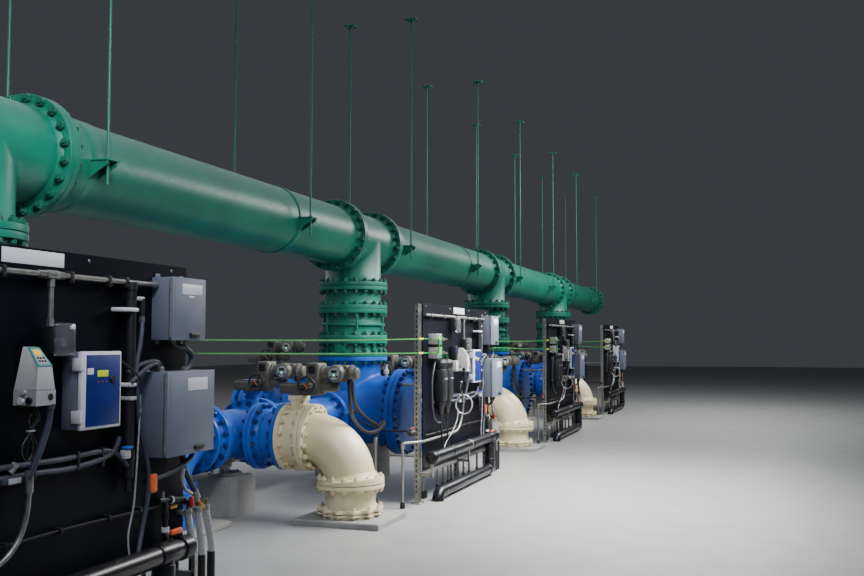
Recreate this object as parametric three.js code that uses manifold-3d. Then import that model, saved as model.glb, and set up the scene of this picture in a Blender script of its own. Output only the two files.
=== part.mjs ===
// Filter gallery pipework, four bays of a water treatment plant.
// A green header hangs under the ceiling. In each bay a tee drops a valved leg to a blue tee on the
// floor, a blue effluent line leads off to a fitting whose branch goes to a cream filter-to-waste
// valve and elbow, and a black board of analysers stands in front on a strut frame.
// Millimetres, +Z up, +X along the header, +Y towards the wall that the blue stubs run into.
// The origin is on the floor under the first drop leg.
import * as THREE from "three";
import { mergeVertices } from "three/addons/utils/BufferGeometryUtils.js";
import Module from "manifold-3d";

// Driving dimensions
const BAYS = 4;
const BAY = 6000;
const GAP = 0.3;
const ROUND = 14;
const FEW = 8;

// Pipe sizes: outside radius, flange radius, flange thickness, centre to face of a fitting
const PIPE24 = { r: 327, flange: 406.5, thick: 47.6, reach: 559 };
const PIPE30 = { r: 406, flange: 492, thick: 54, reach: 635 };
const PIPE20 = { r: 274, flange: 349, thick: 42.9 };
const PIPE16 = { r: 221, flange: 298.5, thick: 36.5, reach: 381 };

// Heights
const HEADER_Z = 2778;
const BLUE_Z = 760;
const LINE_Z = 715;
const CEILING_Z = 5700;
const DROP_TOP = HEADER_Z - PIPE24.reach;
const DROP_JOINT = 1596;
const BLUE_TOP = BLUE_Z + PIPE30.reach;

// Header hangers: places after the tee in front and before the tee behind
const HANGER_AFTER = 850;
const HANGER_BEFORE = 2050;
const ROD_Y = 425;
const ROD_R = 10;

// Effluent line and filter-to-waste set, measured from the drop leg of their bay
const WASTE_X = -2683;
const WASTE_Y = -1136;
const LINE_Y = 120;
const OUTLET_X = -560;
const VALVE16 = 232;
const PAD = [680, 800, 50];
const PIER = [420, 500, 350];
const PIER_Y = 143;
const LEG_PAD = { x: 440, y: 400, height: 50 };

// Analyser board and its frame
const BOARD_X0 = -1573;
const BOARD_X1 = 867;
const BOARD_Z0 = 313;
const BOARD_Z1 = 1950;
const BOARD_Y = -1415;
const BOARD_THICK = 12;
const STRUT = 50;
const BOARD_SHIFT = [-600, 0, 0, 0];
const BOARD_LIFT = [38, 0, 0, 0];

// Paints
const GREEN = paint(0x1b8f6a, 0.35, 0.0);
const BLUE = paint(0x1a46a8, 0.35, 0.0);
const CREAM = paint(0xd8cdab, 0.4, 0.0);
const GREY = paint(0x6b6a66, 0.5, 0.3);
const BLACK = paint(0x101216, 0.45, 0.0);
const BOARD = paint(0x10131f, 0.4, 0.0);
const CONCRETE = paint(0x8f9090, 0.9, 0.0);
const STEEL = paint(0x7c7c78, 0.45, 0.8);

function paint(color, roughness, metalness) {
  return new THREE.MeshStandardMaterial({ color, roughness, metalness });
}

const wasm = await Module();
wasm.setup();

// A three.js geometry as a solid that can be joined and cut
function solid(geometry) {
  const bare = new THREE.BufferGeometry();
  bare.setAttribute("position", geometry.getAttribute("position").clone());
  if (geometry.index) {
    bare.setIndex(geometry.index.clone());
  }
  const merged = mergeVertices(bare, 1e-3);
  const index = merged.index.array;
  const kept = [];
  for (let i = 0; i < index.length; i += 3) {
    const [a, b, c] = [index[i], index[i + 1], index[i + 2]];
    if (a !== b && b !== c && a !== c) {
      kept.push(a, b, c);
    }
  }
  return new wasm.Manifold(new wasm.Mesh({
    numProp: 3,
    vertProperties: new Float32Array(merged.getAttribute("position").array),
    triVerts: new Uint32Array(kept),
  }));
}

// Joins a list of geometries into one geometry
function join(...geometries) {
  const joined = geometries.map(solid).reduce((a, b) => a.add(b));
  return geometryOf(joined);
}

function geometryOf(manifold) {
  const mesh = manifold.getMesh();
  const geometry = new THREE.BufferGeometry();
  geometry.setAttribute("position", new THREE.BufferAttribute(new Float32Array(mesh.vertProperties), 3));
  geometry.setIndex(new THREE.BufferAttribute(new Uint32Array(mesh.triVerts), 1));
  geometry.computeVertexNormals();
  return geometry;
}

// A turned body: profile points are [distance along the axis, radius], first to last, closed on the
// axis, with the axis along x, y or z through the given point
function turned(profile, axis = "z", at = [0, 0, 0], sides = ROUND) {
  const points = [
    new THREE.Vector2(0, profile[0][0]),
    ...profile.map(([along, radius]) => new THREE.Vector2(radius, along)),
    new THREE.Vector2(0, profile[profile.length - 1][0]),
  ];
  const geometry = new THREE.LatheGeometry(points, sides);
  if (axis === "z") {
    geometry.rotateX(Math.PI / 2);
  }
  if (axis === "x") {
    geometry.rotateZ(-Math.PI / 2);
  }
  geometry.translate(...at);
  return geometry;
}

// A round bar along an axis from one place to another
function bar(axis, from, to, radius, at, sides = ROUND) {
  return turned([[from, radius], [to, radius]], axis, at, sides);
}

// A box between two corners
function box(x0, x1, y0, y1, z0, z1) {
  const geometry = new THREE.BoxGeometry(x1 - x0, y1 - y0, z1 - z0);
  geometry.translate((x0 + x1) / 2, (y0 + y1) / 2, (z0 + z1) / 2);
  return geometry;
}

// A pipe with a flange at either end, as a profile along its axis
function flangedProfile(from, to, size, ends = [true, true]) {
  const profile = [];
  if (ends[0]) {
    profile.push([from, size.flange], [from + size.thick, size.flange]);
    profile.push([from + size.thick, size.r]);
  } else {
    profile.push([from, size.r]);
  }
  if (ends[1]) {
    profile.push([to - size.thick, size.r], [to - size.thick, size.flange], [to, size.flange]);
  } else {
    profile.push([to, size.r]);
  }
  return profile;
}

const gallery = new THREE.Group();

function add(name, geometry, material, at = [0, 0, 0]) {
  const mesh = new THREE.Mesh(geometry, material);
  mesh.name = name;
  mesh.position.set(...at);
  gallery.add(mesh);
}

// Header tee: run along X, branch flange facing down
function headerTee() {
  const run = flangedProfile(-PIPE24.reach, PIPE24.reach, PIPE24);
  const branch = flangedProfile(-PIPE24.reach, 0, PIPE24, [true, false]);
  return join(turned(run, "x"), turned(branch, "z"));
}

// Hanger: a strap under the pipe, a lug plate with a gusset on each side and a rod up to the ceiling
function hanger(x) {
  const strap = turned([[x - 40, PIPE24.r + 14], [x + 40, PIPE24.r + 14]], "x");
  const lugs = [-1, 1].map((side) => {
    const outer = side * (ROD_Y + 35);
    const inner = side * (PIPE24.r - 30);
    const plate = new THREE.Shape();
    plate.moveTo(inner, 0);
    plate.lineTo(outer, 0);
    plate.lineTo(outer, -22);
    plate.lineTo(inner, -150);
    plate.closePath();
    const gusset = new THREE.ExtrudeGeometry(plate, { depth: 80, bevelEnabled: false });
    gusset.rotateX(Math.PI / 2);
    gusset.rotateZ(Math.PI / 2);
    gusset.translate(x - 40, 0, 0);
    return gusset;
  });
  const rods = [-1, 1].map((side) =>
    bar("z", -70, CEILING_Z - HEADER_Z - 6, ROD_R, [x, side * ROD_Y, 0], 4));
  const plates = [-1, 1].map((side) => box(
    x - 75, x + 75, side * ROD_Y - 75, side * ROD_Y + 75,
    CEILING_Z - HEADER_Z - 12, CEILING_Z - HEADER_Z));
  return [strap, ...lugs, ...rods, ...plates];
}

function headerPipe() {
  const from = PIPE24.reach + GAP;
  const to = BAY - PIPE24.reach - GAP;
  return join(
    turned(flangedProfile(from, to, PIPE24), "x"),
    ...hanger(HANGER_AFTER),
    ...hanger(BAY - HANGER_BEFORE));
}

// Drop spool: short spool, then a restrained flange adapter with its tie rods
const DROP_PAIR = 1950;
const RING = { low: 1755, high: 1781 };
const TIE_RODS = 6;
function dropSpool() {
  const top = DROP_TOP - GAP;
  const thick = PIPE24.thick;
  const profile = [
    [DROP_JOINT, PIPE24.flange], [DROP_JOINT + thick, PIPE24.flange], [DROP_JOINT + thick, PIPE24.r + 22],
    [RING.low, PIPE24.r + 22], [RING.low, PIPE24.r + 52], [RING.high, PIPE24.r + 52],
    [RING.high, PIPE24.r],
    [DROP_PAIR - thick, PIPE24.r], [DROP_PAIR - thick, PIPE24.flange],
    [DROP_PAIR + thick, PIPE24.flange], [DROP_PAIR + thick, PIPE24.r],
    [top - thick, PIPE24.r], [top - thick, PIPE24.flange], [top, PIPE24.flange],
  ];
  const rods = [];
  for (let i = 0; i < TIE_RODS; i += 1) {
    const angle = (i + 0.5) * 2 * Math.PI / TIE_RODS;
    const place = [374 * Math.cos(angle), 374 * Math.sin(angle), 0];
    rods.push(bar("z", DROP_JOINT + 10, DROP_PAIR, 14, place, 4));
  }
  return join(turned(profile, "z"), ...rods);
}

// Electric actuator: gear case with its handwheel shaft, round control head and motor along -Y,
// and the arm of the quarter turn gearbox. The point is on the motor's axis, above the valve stem.
const CASE = { near: -151, far: -271, half: 90, below: 200, above: 96 };
const ARM = { left: 17, right: 152, end: 165, low: -193, high: -97 };
const MOTOR = { r: 70, end: -616, head: -445, headR: 76, face: -143 };
const WHEEL = { x: -193, y: -207, z: -105, r: 85, rim: 9, hub: 30 };
function actuatorParts(x, y, z) {
  return [
    box(x - CASE.half, x + CASE.half, y + CASE.far, y + CASE.near, z - CASE.below, z + CASE.above),
    box(x + ARM.left, x + ARM.right, y + CASE.near - 20, y + ARM.end, z + ARM.low, z + ARM.high),
    bar("y", y + MOTOR.end, y + CASE.far + 10, MOTOR.r, [x, 0, z], FEW),
    bar("x", x + MOTOR.face, x, MOTOR.headR, [0, y + MOTOR.head, z], FEW),
    bar("x", x + WHEEL.x + WHEEL.hub, x - CASE.half + 10, 26, [0, y + WHEEL.y, z + WHEEL.z], 8),
  ];
}

// Handwheel: rim, three spokes and a hub that turns on the gear case's shaft
function handwheel() {
  const rim = new THREE.TorusGeometry(WHEEL.r - WHEEL.rim, WHEEL.rim, 4, 12);
  rim.rotateY(Math.PI / 2);
  const parts = [rim, bar("x", -14, WHEEL.hub - GAP, 20, [0, 0, 0], 8)];
  for (let i = 0; i < 3; i += 1) {
    const spoke = box(-5, 5, -7, 7, 0, WHEEL.r - WHEEL.rim);
    spoke.rotateX(i * 2 * Math.PI / 3);
    parts.push(spoke);
  }
  return join(...parts);
}

// Drop valve: butterfly valve with full flanges, its gearbox on the far side
function dropValve() {
  const thick = PIPE24.thick;
  const low = BLUE_TOP + GAP;
  const high = DROP_JOINT - GAP;
  const body = [
    [low, PIPE24.flange], [low + thick, PIPE24.flange], [low + thick, 350],
    [high - thick, 350], [high - thick, PIPE24.flange], [high, PIPE24.flange],
  ];
  return join(
    turned(body, "z"),
    bar("x", 300, 520, 60, [0, 0, 1487], FEW),
    box(450, 690, -130, 110, 1200, 1560),
    ...actuatorParts(538, -70, 1320));
}

// Effluent tee: thirty inch run across the gallery, neck up, outlet to the effluent line, blind end
// to the aisle, reducer, twenty inch butterfly valve and stub to the wall, foot down to the floor
const WALL_VALVE = { from: 1090, to: 1310, waist: 310, stem: 1253 };
const WALL_Y = 1450;
const FOOT = { x: 190, y: 400 };
function effluentTee() {
  const face = PIPE30.reach;
  const thick = PIPE30.thick;
  const small = PIPE20.r;
  const rim = PIPE20.flange;
  const rimThick = PIPE20.thick;
  const run = [
    [-face - thick - 24, 300], [-face - thick, 380], [-face - thick, PIPE30.flange],
    [-face + thick, PIPE30.flange], [-face + thick, PIPE30.r],
    [face - thick, PIPE30.r], [face - thick, PIPE30.flange],
    [face + thick, PIPE30.flange], [face + thick, PIPE30.r],
    [WALL_VALVE.from - rimThick, small], [WALL_VALVE.from - rimThick, rim],
    [WALL_VALVE.from + rimThick, rim], [WALL_VALVE.from + rimThick, WALL_VALVE.waist],
    [WALL_VALVE.to - rimThick, WALL_VALVE.waist], [WALL_VALVE.to - rimThick, rim],
    [WALL_VALVE.to + rimThick, rim], [WALL_VALVE.to + rimThick, small],
    [WALL_Y - rimThick, small], [WALL_Y - rimThick, rim], [WALL_Y, rim],
  ];
  const neck = [
    [BLUE_Z, PIPE24.r], [BLUE_TOP - PIPE24.thick, PIPE24.r],
    [BLUE_TOP - PIPE24.thick, PIPE24.flange], [BLUE_TOP, PIPE24.flange],
  ];
  const valveY = (WALL_VALVE.from + WALL_VALVE.to) / 2;
  return join(
    turned(run, "y", [0, 0, BLUE_Z]),
    turned(neck, "z"),
    turned(flangedProfile(OUTLET_X, 0, PIPE16, [true, false]), "x", [0, LINE_Y, LINE_Z]),
    bar("z", BLUE_Z + 240, WALL_VALVE.stem + 40, 70, [0, valveY, 0], FEW),
    bar("z", WALL_VALVE.stem + 13, WALL_VALVE.stem + 153, 92, [0, valveY, 0], FEW),
    ...actuatorParts(-107, valveY, WALL_VALVE.stem + 250),
    box(-FOOT.x, FOOT.x, -FOOT.y, FOOT.y, 0, BLUE_Z - 300));
}

// Quarter bend of a pipe size from a start face, round a corner, to an end face
function elbow(size, start, corner, end) {
  const a = new THREE.Vector3(...start);
  const b = new THREE.Vector3(...corner);
  const c = new THREE.Vector3(...end);
  const bend = a.distanceTo(b);
  const inward = b.clone().sub(a).normalize();
  const outward = c.clone().sub(b).normalize();
  const centre = a.clone().add(outward.clone().multiplyScalar(bend));
  const section = new THREE.Shape();
  section.absarc(0, 0, size.r, 0, 2 * Math.PI);
  return new THREE.ExtrudeGeometry(section, {
    steps: 4,
    curveSegments: ROUND / 2,
    bevelEnabled: false,
    extrudePath: new BendCurve(centre, outward, inward, bend),
  });
}

// A quarter turn about a centre, from -outward to +inward
class BendCurve extends THREE.Curve {
  constructor(centre, outward, inward, bend) {
    super();
    this.centre = centre;
    this.outward = outward;
    this.inward = inward;
    this.bend = bend;
  }

  getPoint(t, target = new THREE.Vector3()) {
    const angle = t * Math.PI / 2;
    return target.copy(this.centre)
      .addScaledVector(this.outward, -this.bend * Math.cos(angle))
      .addScaledVector(this.inward, this.bend * Math.sin(angle));
  }
}

// Effluent line: sixteen inch pipe along the gallery from the blue tee, its valve and actuator, the
// fitting with the branch to the aisle, and an elbow down to a low pad
const SPOOL_END = WASTE_Y + PIPE16.reach + VALVE16;
const EXTRA = 190;
const NECK_TOP = 1088;
const ABOVE_NECK = 202;
const GEAR_HEIGHT = 96;
function effluentLine() {
  const thick = PIPE16.thick;
  const r = PIPE16.r;
  const rim = PIPE16.flange;
  const valveFrom = WASTE_X + PIPE16.reach + VALVE16;
  const valveTo = WASTE_X + PIPE16.reach;
  const fitEnd = WASTE_X - PIPE16.reach;
  const ringEnd = fitEnd - EXTRA - thick;
  const along = [
    [OUTLET_X - GAP, rim], [OUTLET_X - GAP - thick, rim], [OUTLET_X - GAP - thick, r],
    [valveFrom + thick, r], [valveFrom + thick, rim], [valveFrom - thick, rim], [valveFrom - thick, 250],
    [valveTo + thick, 250], [valveTo + thick, rim], [valveTo - thick, rim], [valveTo - thick, r],
    [fitEnd + thick, r], [fitEnd + thick, rim], [fitEnd - thick, rim], [fitEnd - thick, 240],
    [ringEnd + thick, 240], [ringEnd + thick, rim], [ringEnd, rim],
  ].reverse();
  const branchEnd = LINE_Y - PIPE16.reach;
  const branch = [
    [SPOOL_END + GAP, rim], [SPOOL_END + GAP + thick, rim], [SPOOL_END + GAP + thick, r],
    [branchEnd - thick, r], [branchEnd - thick, rim], [branchEnd + thick, rim], [branchEnd + thick, r],
    [LINE_Y, r],
  ];
  const downX = ringEnd - PIPE16.reach;
  const low = LINE_Z - PIPE16.reach;
  const leg = [
    [LEG_PAD.height - 5, r + 60], [LEG_PAD.height + 40, r + 60], [LEG_PAD.height + 40, r],
    [low - thick, r], [low - thick, rim], [low + thick, rim],
  ];
  const valveX = (valveFrom + valveTo) / 2;
  return join(
    turned(along, "x", [0, LINE_Y, LINE_Z]),
    turned(branch, "y", [WASTE_X, 0, LINE_Z]),
    elbow(PIPE16, [ringEnd + 5, LINE_Y, LINE_Z], [downX, LINE_Y, LINE_Z], [downX, LINE_Y, low]),
    turned(leg, "z", [downX, LINE_Y, 0]),
    box(downX - LEG_PAD.x, downX + LEG_PAD.x, LINE_Y - LEG_PAD.y, LINE_Y + LEG_PAD.y, 0, LEG_PAD.height),
    bar("z", LINE_Z + 200, NECK_TOP + 20, 62, [valveX, LINE_Y, 0], FEW),
    bar("z", NECK_TOP, NECK_TOP + GEAR_HEIGHT, 92, [valveX, LINE_Y, 0], FEW),
    ...actuatorParts(valveX - 107, LINE_Y, NECK_TOP + ABOVE_NECK),
    bar("z", PIER[2] + 20, LINE_Z - 60, 90, [WASTE_X, LINE_Y, 0], FEW),
    box(WASTE_X - 150, WASTE_X + 150, LINE_Y - 140, LINE_Y + 140, PIER[2] + GAP, PIER[2] + 24));
}

// Waste valve: cream butterfly valve with full flanges and a neck for the gearbox
const WASTE_MIDDLE = (WASTE_Y + PIPE16.reach + SPOOL_END) / 2;
function wasteValve() {
  const from = WASTE_Y + PIPE16.reach + GAP;
  const to = SPOOL_END - GAP;
  const thick = PIPE16.thick;
  const body = [
    [from, PIPE16.flange], [from + thick, PIPE16.flange], [from + thick, 250],
    [to - thick, 250], [to - thick, PIPE16.flange], [to, PIPE16.flange],
  ];
  return join(
    turned(body, "y", [WASTE_X, 0, LINE_Z]),
    bar("z", LINE_Z + 200, NECK_TOP - 20, 62, [WASTE_X, WASTE_MIDDLE, 0], FEW),
    box(WASTE_X - 110, WASTE_X + 110, WASTE_MIDDLE - 75, WASTE_MIDDLE + 75, NECK_TOP - 20, NECK_TOP));
}

// Waste actuator: the quarter turn gearbox on the neck and the electric actuator above the elbow
const ACTUATOR = [WASTE_X - 107, WASTE_MIDDLE, NECK_TOP + ABOVE_NECK];
function wasteActuator() {
  return join(
    bar("z", NECK_TOP + GAP, NECK_TOP + GEAR_HEIGHT, 92, [WASTE_X, WASTE_MIDDLE, 0], FEW),
    ...actuatorParts(...ACTUATOR));
}

// Waste elbow: cream elbow down to a flanged spool with a bolted gland on the pad
function wasteElbow() {
  const thick = PIPE16.thick;
  const face = WASTE_Y + PIPE16.reach;
  const low = LINE_Z - PIPE16.reach;
  const entry = [[face - thick, PIPE16.flange], [face - GAP, PIPE16.flange]];
  const leg = [
    [PAD[2] + GAP, 240], [PAD[2] + 25, 240], [PAD[2] + 25, 290], [PAD[2] + 95, 290],
    [PAD[2] + 95, PIPE16.r], [low - thick, PIPE16.r],
    [low - thick, PIPE16.flange], [low + thick, PIPE16.flange],
  ];
  const bend = elbow(PIPE16, [WASTE_X, face - GAP, LINE_Z], [WASTE_X, WASTE_Y, LINE_Z],
    [WASTE_X, WASTE_Y, low]);
  return join(
    turned(entry, "y", [WASTE_X, 0, LINE_Z]),
    bend,
    turned(leg, "z", [WASTE_X, WASTE_Y, 0]));
}

// Concrete pad under the elbow and pier under the effluent line, both chamfered, the pier's four
// upright corners cut off too
function block(width, depth, height, chamfer, corner) {
  const w = width / 2 - chamfer;
  const d = depth / 2 - chamfer;
  const cut4 = [
    [-w + corner, -d], [w - corner, -d], [w, -d + corner], [w, d - corner],
    [w - corner, d], [-w + corner, d], [-w, d - corner], [-w, -d + corner]];
  const full = [[-w, -d], [w, -d], [w, d], [-w, d]];
  const outline = corner > 0 ? cut4 : full;
  const shape = new THREE.Shape(outline.map(([x, y]) => new THREE.Vector2(x, y)));
  const geometry = new THREE.ExtrudeGeometry(shape, {
    depth: height - chamfer,
    bevelEnabled: true,
    bevelThickness: chamfer,
    bevelSize: chamfer,
    bevelSegments: 1,
  });
  const cut = box(-width, width, -depth, depth, -2 * chamfer, 0);
  return geometryOf(solid(geometry).subtract(solid(cut)));
}

// Board: plate with enclosures, instruments and a standpipe on its aisle face. Each block is
// [from the far end, width, bottom, height, depth]
const BOARD_BLOCKS = [
  [-332, 327, 1534, 340, 132],
  [-425, 470, 919, 448, 165],
  [-1049, 312, 1112, 364, 115],
  [-1357, 116, 1239, 280, 131],
  [-1179, 132, 1456, 155, 100],
  [-2290, 330, 1540, 105, 110],
  [-2320, 330, 1400, 110, 110],
  [-2200, 420, 820, 560, 130],
  [-590, 60, 832, 1000, 75],
];
function panelBoard() {
  const back = BOARD_Y;
  const front = BOARD_Y - BOARD_THICK;
  const blocks = BOARD_BLOCKS.map(([from, width, bottom, height, deep]) => box(
    BOARD_X1 + from, BOARD_X1 + from + width, front - deep, front + 2, bottom, bottom + height));
  return join(box(BOARD_X0, BOARD_X1, front, back, BOARD_Z0, BOARD_Z1), ...blocks);
}

// Frame: strut posts behind the board on foot plates, the near one doubled, rails across, a drain
// pipe in front on brackets with a leg to a second pipe on the floor, and a sample pipe to the blue
// tee's blind end
const RAIL_Z = 1060;
const SAMPLE = { x: -250, z: 1080, r: 14 };
const DRAIN = { r: 57, y: BOARD_Y - BOARD_THICK - 105, z: 440, low: 75, x0: -1650, x1: 740, leg: 530, end: -1400 };
function panelFrame(shift, lift) {
  const y0 = BOARD_Y + GAP;
  const y1 = y0 + STRUT;
  const top = BOARD_Z1 + lift - 10;
  const posts = [
    [BOARD_X0 - 95, BOARD_X0 - 10], [BOARD_X0 + 1195, BOARD_X0 + 1195 + STRUT],
    [BOARD_X1 - STRUT - 15, BOARD_X1 - 15]];
  const parts = [];
  for (const [x0, x1] of posts) {
    parts.push(box(x0, x1, y0, y1, 6, top));
    parts.push(box(x0 - 20, x1 + 20, y0 - 25, y1 + 25, 0, 8));
  }
  for (const z of [BOARD_Z0 - 60, RAIL_Z, top - 80]) {
    parts.push(box(posts[0][0] + 5, posts[2][1] - 5, y0 + 4, y1 - 4, z, z + 41));
  }
  parts.push(bar("x", DRAIN.x0, DRAIN.x1, DRAIN.r, [0, DRAIN.y, DRAIN.z], FEW));
  parts.push(bar("z", DRAIN.low, DRAIN.z, DRAIN.r - 3, [DRAIN.leg, DRAIN.y, 0], FEW));
  parts.push(bar("x", DRAIN.end, DRAIN.leg, DRAIN.r - 1, [0, DRAIN.y, DRAIN.low], FEW));
  parts.push(bar("z", 0, DRAIN.low, DRAIN.r + 4, [DRAIN.end, DRAIN.y, 0], FEW));
  for (const [, x1] of posts) {
    const low = BOARD_Z0 - 58;
    parts.push(box(x1 - 42, x1 - 8, DRAIN.y - 10, y0 + 10, low, low + 30));
    parts.push(box(x1 - 42, x1 - 8, DRAIN.y - 12, DRAIN.y + 12, low, DRAIN.z - DRAIN.r + 20));
  }
  const blindFace = -PIPE30.reach - PIPE30.thick;
  parts.push(bar("y", y1 - 10, blindFace - GAP, SAMPLE.r, [SAMPLE.x - shift, 0, SAMPLE.z], 4));
  return join(...parts);
}

const tee = headerTee();
const pipe = headerPipe();
const spool = dropSpool();
const valve = dropValve();
const effluent = effluentTee();
const line = effluentLine();
const waste = wasteValve();
const actuator = wasteActuator();
const wheel = handwheel();
const bendDown = wasteElbow();
const pad = block(PAD[0], PAD[1], PAD[2], 8, 0);
const pier = block(PIER[0], PIER[1], PIER[2], 28, 30);
const board = panelBoard();

for (let k = 0; k < BAYS; k += 1) {
  const x = k * BAY;
  const number = k + 1;
  add(`header_tee_${number}`, tee, GREEN, [x, 0, HEADER_Z]);
  add(`header_pipe_${number}`, pipe, GREEN, [x, 0, HEADER_Z]);
  add(`drop_spool_${number}`, spool, GREEN, [x, 0, 0]);
  add(`drop_valve_${number}`, valve, GREEN, [x, 0, 0]);
  add(`effluent_tee_${number}`, effluent, BLUE, [x, 0, 0]);
  add(`effluent_line_${number}`, line, BLUE, [x, 0, 0]);
  add(`waste_valve_${number}`, waste, CREAM, [x, 0, 0]);
  add(`waste_actuator_${number}`, actuator, GREY, [x, 0, 0]);
  add(`waste_handwheel_${number}`, wheel, BLACK, [
    x + ACTUATOR[0] + WHEEL.x, ACTUATOR[1] + WHEEL.y, ACTUATOR[2] + WHEEL.z]);
  add(`waste_elbow_${number}`, bendDown, CREAM, [x, 0, 0]);
  add(`waste_pad_${number}`, pad, CONCRETE, [x + WASTE_X, WASTE_Y, 0]);
  add(`pipe_pier_${number}`, pier, CONCRETE, [x + WASTE_X, PIER_Y, 0]);
  const boardX = x + BOARD_SHIFT[k];
  add(`panel_board_${number}`, board, BOARD, [boardX, 0, BOARD_LIFT[k]]);
  add(`panel_frame_${number}`, panelFrame(BOARD_SHIFT[k], BOARD_LIFT[k]), STEEL, [boardX, 0, 0]);
}

// Blind flanges that close the two ends of the header
const blind = turned([[0, PIPE24.flange], [PIPE24.thick, PIPE24.flange]], "x");
add("header_blind_near", blind, GREEN, [-PIPE24.reach - GAP - PIPE24.thick, 0, HEADER_Z]);
add("header_blind_far", blind, GREEN, [BAYS * BAY - PIPE24.reach, 0, HEADER_Z]);

export default gallery;
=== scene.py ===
# Filter gallery pipework: four bays of a green overhead header with valved drop legs to blue tees,
# effluent lines on the floor, cream filter-to-waste elbows and black analyser boards.
# Metres, +X along the header, +Y to the wall, +Z up, from the floor under the first drop leg.
import math

import bpy
import numpy as np
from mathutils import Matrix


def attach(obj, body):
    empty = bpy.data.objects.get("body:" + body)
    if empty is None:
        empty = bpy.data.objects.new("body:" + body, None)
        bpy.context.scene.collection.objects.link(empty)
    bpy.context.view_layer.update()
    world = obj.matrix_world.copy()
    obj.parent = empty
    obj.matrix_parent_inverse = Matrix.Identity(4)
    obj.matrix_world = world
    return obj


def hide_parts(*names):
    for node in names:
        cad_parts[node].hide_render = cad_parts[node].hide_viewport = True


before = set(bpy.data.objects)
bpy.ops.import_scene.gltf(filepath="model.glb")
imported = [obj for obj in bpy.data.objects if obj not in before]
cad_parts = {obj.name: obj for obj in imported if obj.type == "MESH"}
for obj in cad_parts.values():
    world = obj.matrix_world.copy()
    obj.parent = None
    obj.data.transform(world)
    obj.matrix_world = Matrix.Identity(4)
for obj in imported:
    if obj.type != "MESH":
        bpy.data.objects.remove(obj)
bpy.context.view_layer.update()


# Camera
# Stands in the aisle, level with a person's eyes, and looks along the row at the photograph's angle.
# The lens and the place were fitted to the flanges and the board, and it has no shift or blur.
CAMERA_PLACE = (-4.478, -4.5115, 1.559)
CAMERA_YAW = 18.578
CAMERA_PITCH = 3.2645

camera_data = bpy.data.cameras.new("camera")
camera_data.lens = 39.80
camera_data.sensor_width = 36.0
camera = bpy.data.objects.new("camera", camera_data)
camera.location = CAMERA_PLACE
camera.rotation_euler = (math.radians(90 + CAMERA_PITCH), 0, math.radians(CAMERA_YAW - 90))
bpy.context.scene.collection.objects.link(camera)
bpy.context.scene.camera = camera


# Conduit whips
# Black liquid-tight flexible conduit, 34 mm across, in a loop from a gland under the end of each waste
# actuator to a fitting on the stub post by the pad. Both ends are screwed down, so it isn't loose.
BAYS = 4
BAY = 6.0    # from one tee to the next
WHIP_R = 0.017
CREASE = 38    # degrees: sharper edges stay crisp, in every piece


def smooth_route(points, steps):
    """A Catmull-Rom curve: between two points, half of 2b + (c-a)t + (2a-5b+4c-d)t2 + (3b-a-3c+d)t3."""
    p = np.array(points, float)
    p = np.vstack([2 * p[0] - p[1], p, 2 * p[-1] - p[-2]])
    t = (np.arange(steps) / steps)[None, :, None]
    a, b, c, d = (p[i:len(p) - 3 + i, None, :] for i in range(4))
    curve = 0.5 * (2 * b + (c - a) * t + (2 * a - 5 * b + 4 * c - d) * t**2
                   + (3 * b - a - 3 * c + d) * t**3)
    return np.vstack([curve.reshape(-1, 3), p[-2]])


def tube_rings(route, radius, sides=12):
    """Circles carried along a route: centre + radius (n cos a + b sin a), where n is turned from one
    point to the next by taking out its part along the new direction."""
    step = np.gradient(route, axis=0)
    along = step / np.linalg.norm(step, axis=1, keepdims=True)
    # The first n is square to the route and to a slanting direction that no route here starts along.
    side = np.cross(along[0], [0.3, 0.5, 0.81])
    across = []
    for direction in along:
        side = side - direction * side.dot(direction)
        side = side / np.linalg.norm(side)
        across.append(side)
    n = np.array(across)[:, None, :]
    b = np.cross(along, n[:, 0, :])[:, None, :]
    a = np.linspace(0, 2 * np.pi, sides, endpoint=False)[None, :, None]
    r = np.broadcast_to(np.asarray(radius, float), (len(route),))[:, None, None]
    return route[:, None, :] + r * (n * np.cos(a) + b * np.sin(a))


def shell(rings):
    """A closed skin over a stack of rings: four-sided faces from ring to ring, one flat face at each
    end, turned to point outwards by the sign of the volume, the sum of a.(b x c) over triangles."""
    rows, sides = rings.shape[:2]
    vertices = rings.reshape(-1, 3)
    index = np.arange(rows * sides).reshape(rows, sides)
    after = np.roll(index, -1, axis=1)
    quads = np.stack([index[:-1], after[:-1], after[1:], index[1:]], axis=-1).reshape(-1, 4)
    ends = [index[0][::-1], index[-1]]
    middle = vertices.mean(axis=0)
    a, b, c, d = (vertices[quads[:, i]] - middle for i in range(4))
    volume = (a * np.cross(b, c)).sum() + (a * np.cross(c, d)).sum()
    if volume < 0:
        quads = quads[:, ::-1]
        ends = [end[::-1] for end in ends]
    return vertices, quads.tolist() + [end.tolist() for end in ends]


def linear(hexed):
    """sRGB hex to linear: below 0.04045 over 12.92, above it ((c + 0.055) / 1.055) to the 2.4."""
    c = np.array([int(hexed[i:i + 2], 16) for i in (1, 3, 5)]) / 255
    c = np.where(c <= 0.04045, c / 12.92, ((c + 0.055) / 1.055) ** 2.4)
    return (*c.tolist(), 1.0)


def node(tree, kind, sockets=(), **settings):
    """Adds a node: a socket that is given another node's output is linked to it, any other is set."""
    made = tree.nodes.new("ShaderNode" + kind)
    for name, value in settings.items():
        setattr(made, name, value)
    for name, value in dict(sockets).items():
        if isinstance(value, bpy.types.NodeSocket):
            tree.links.new(value, made.inputs[name])
        else:
            made.inputs[name].default_value = value
    return made


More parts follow.
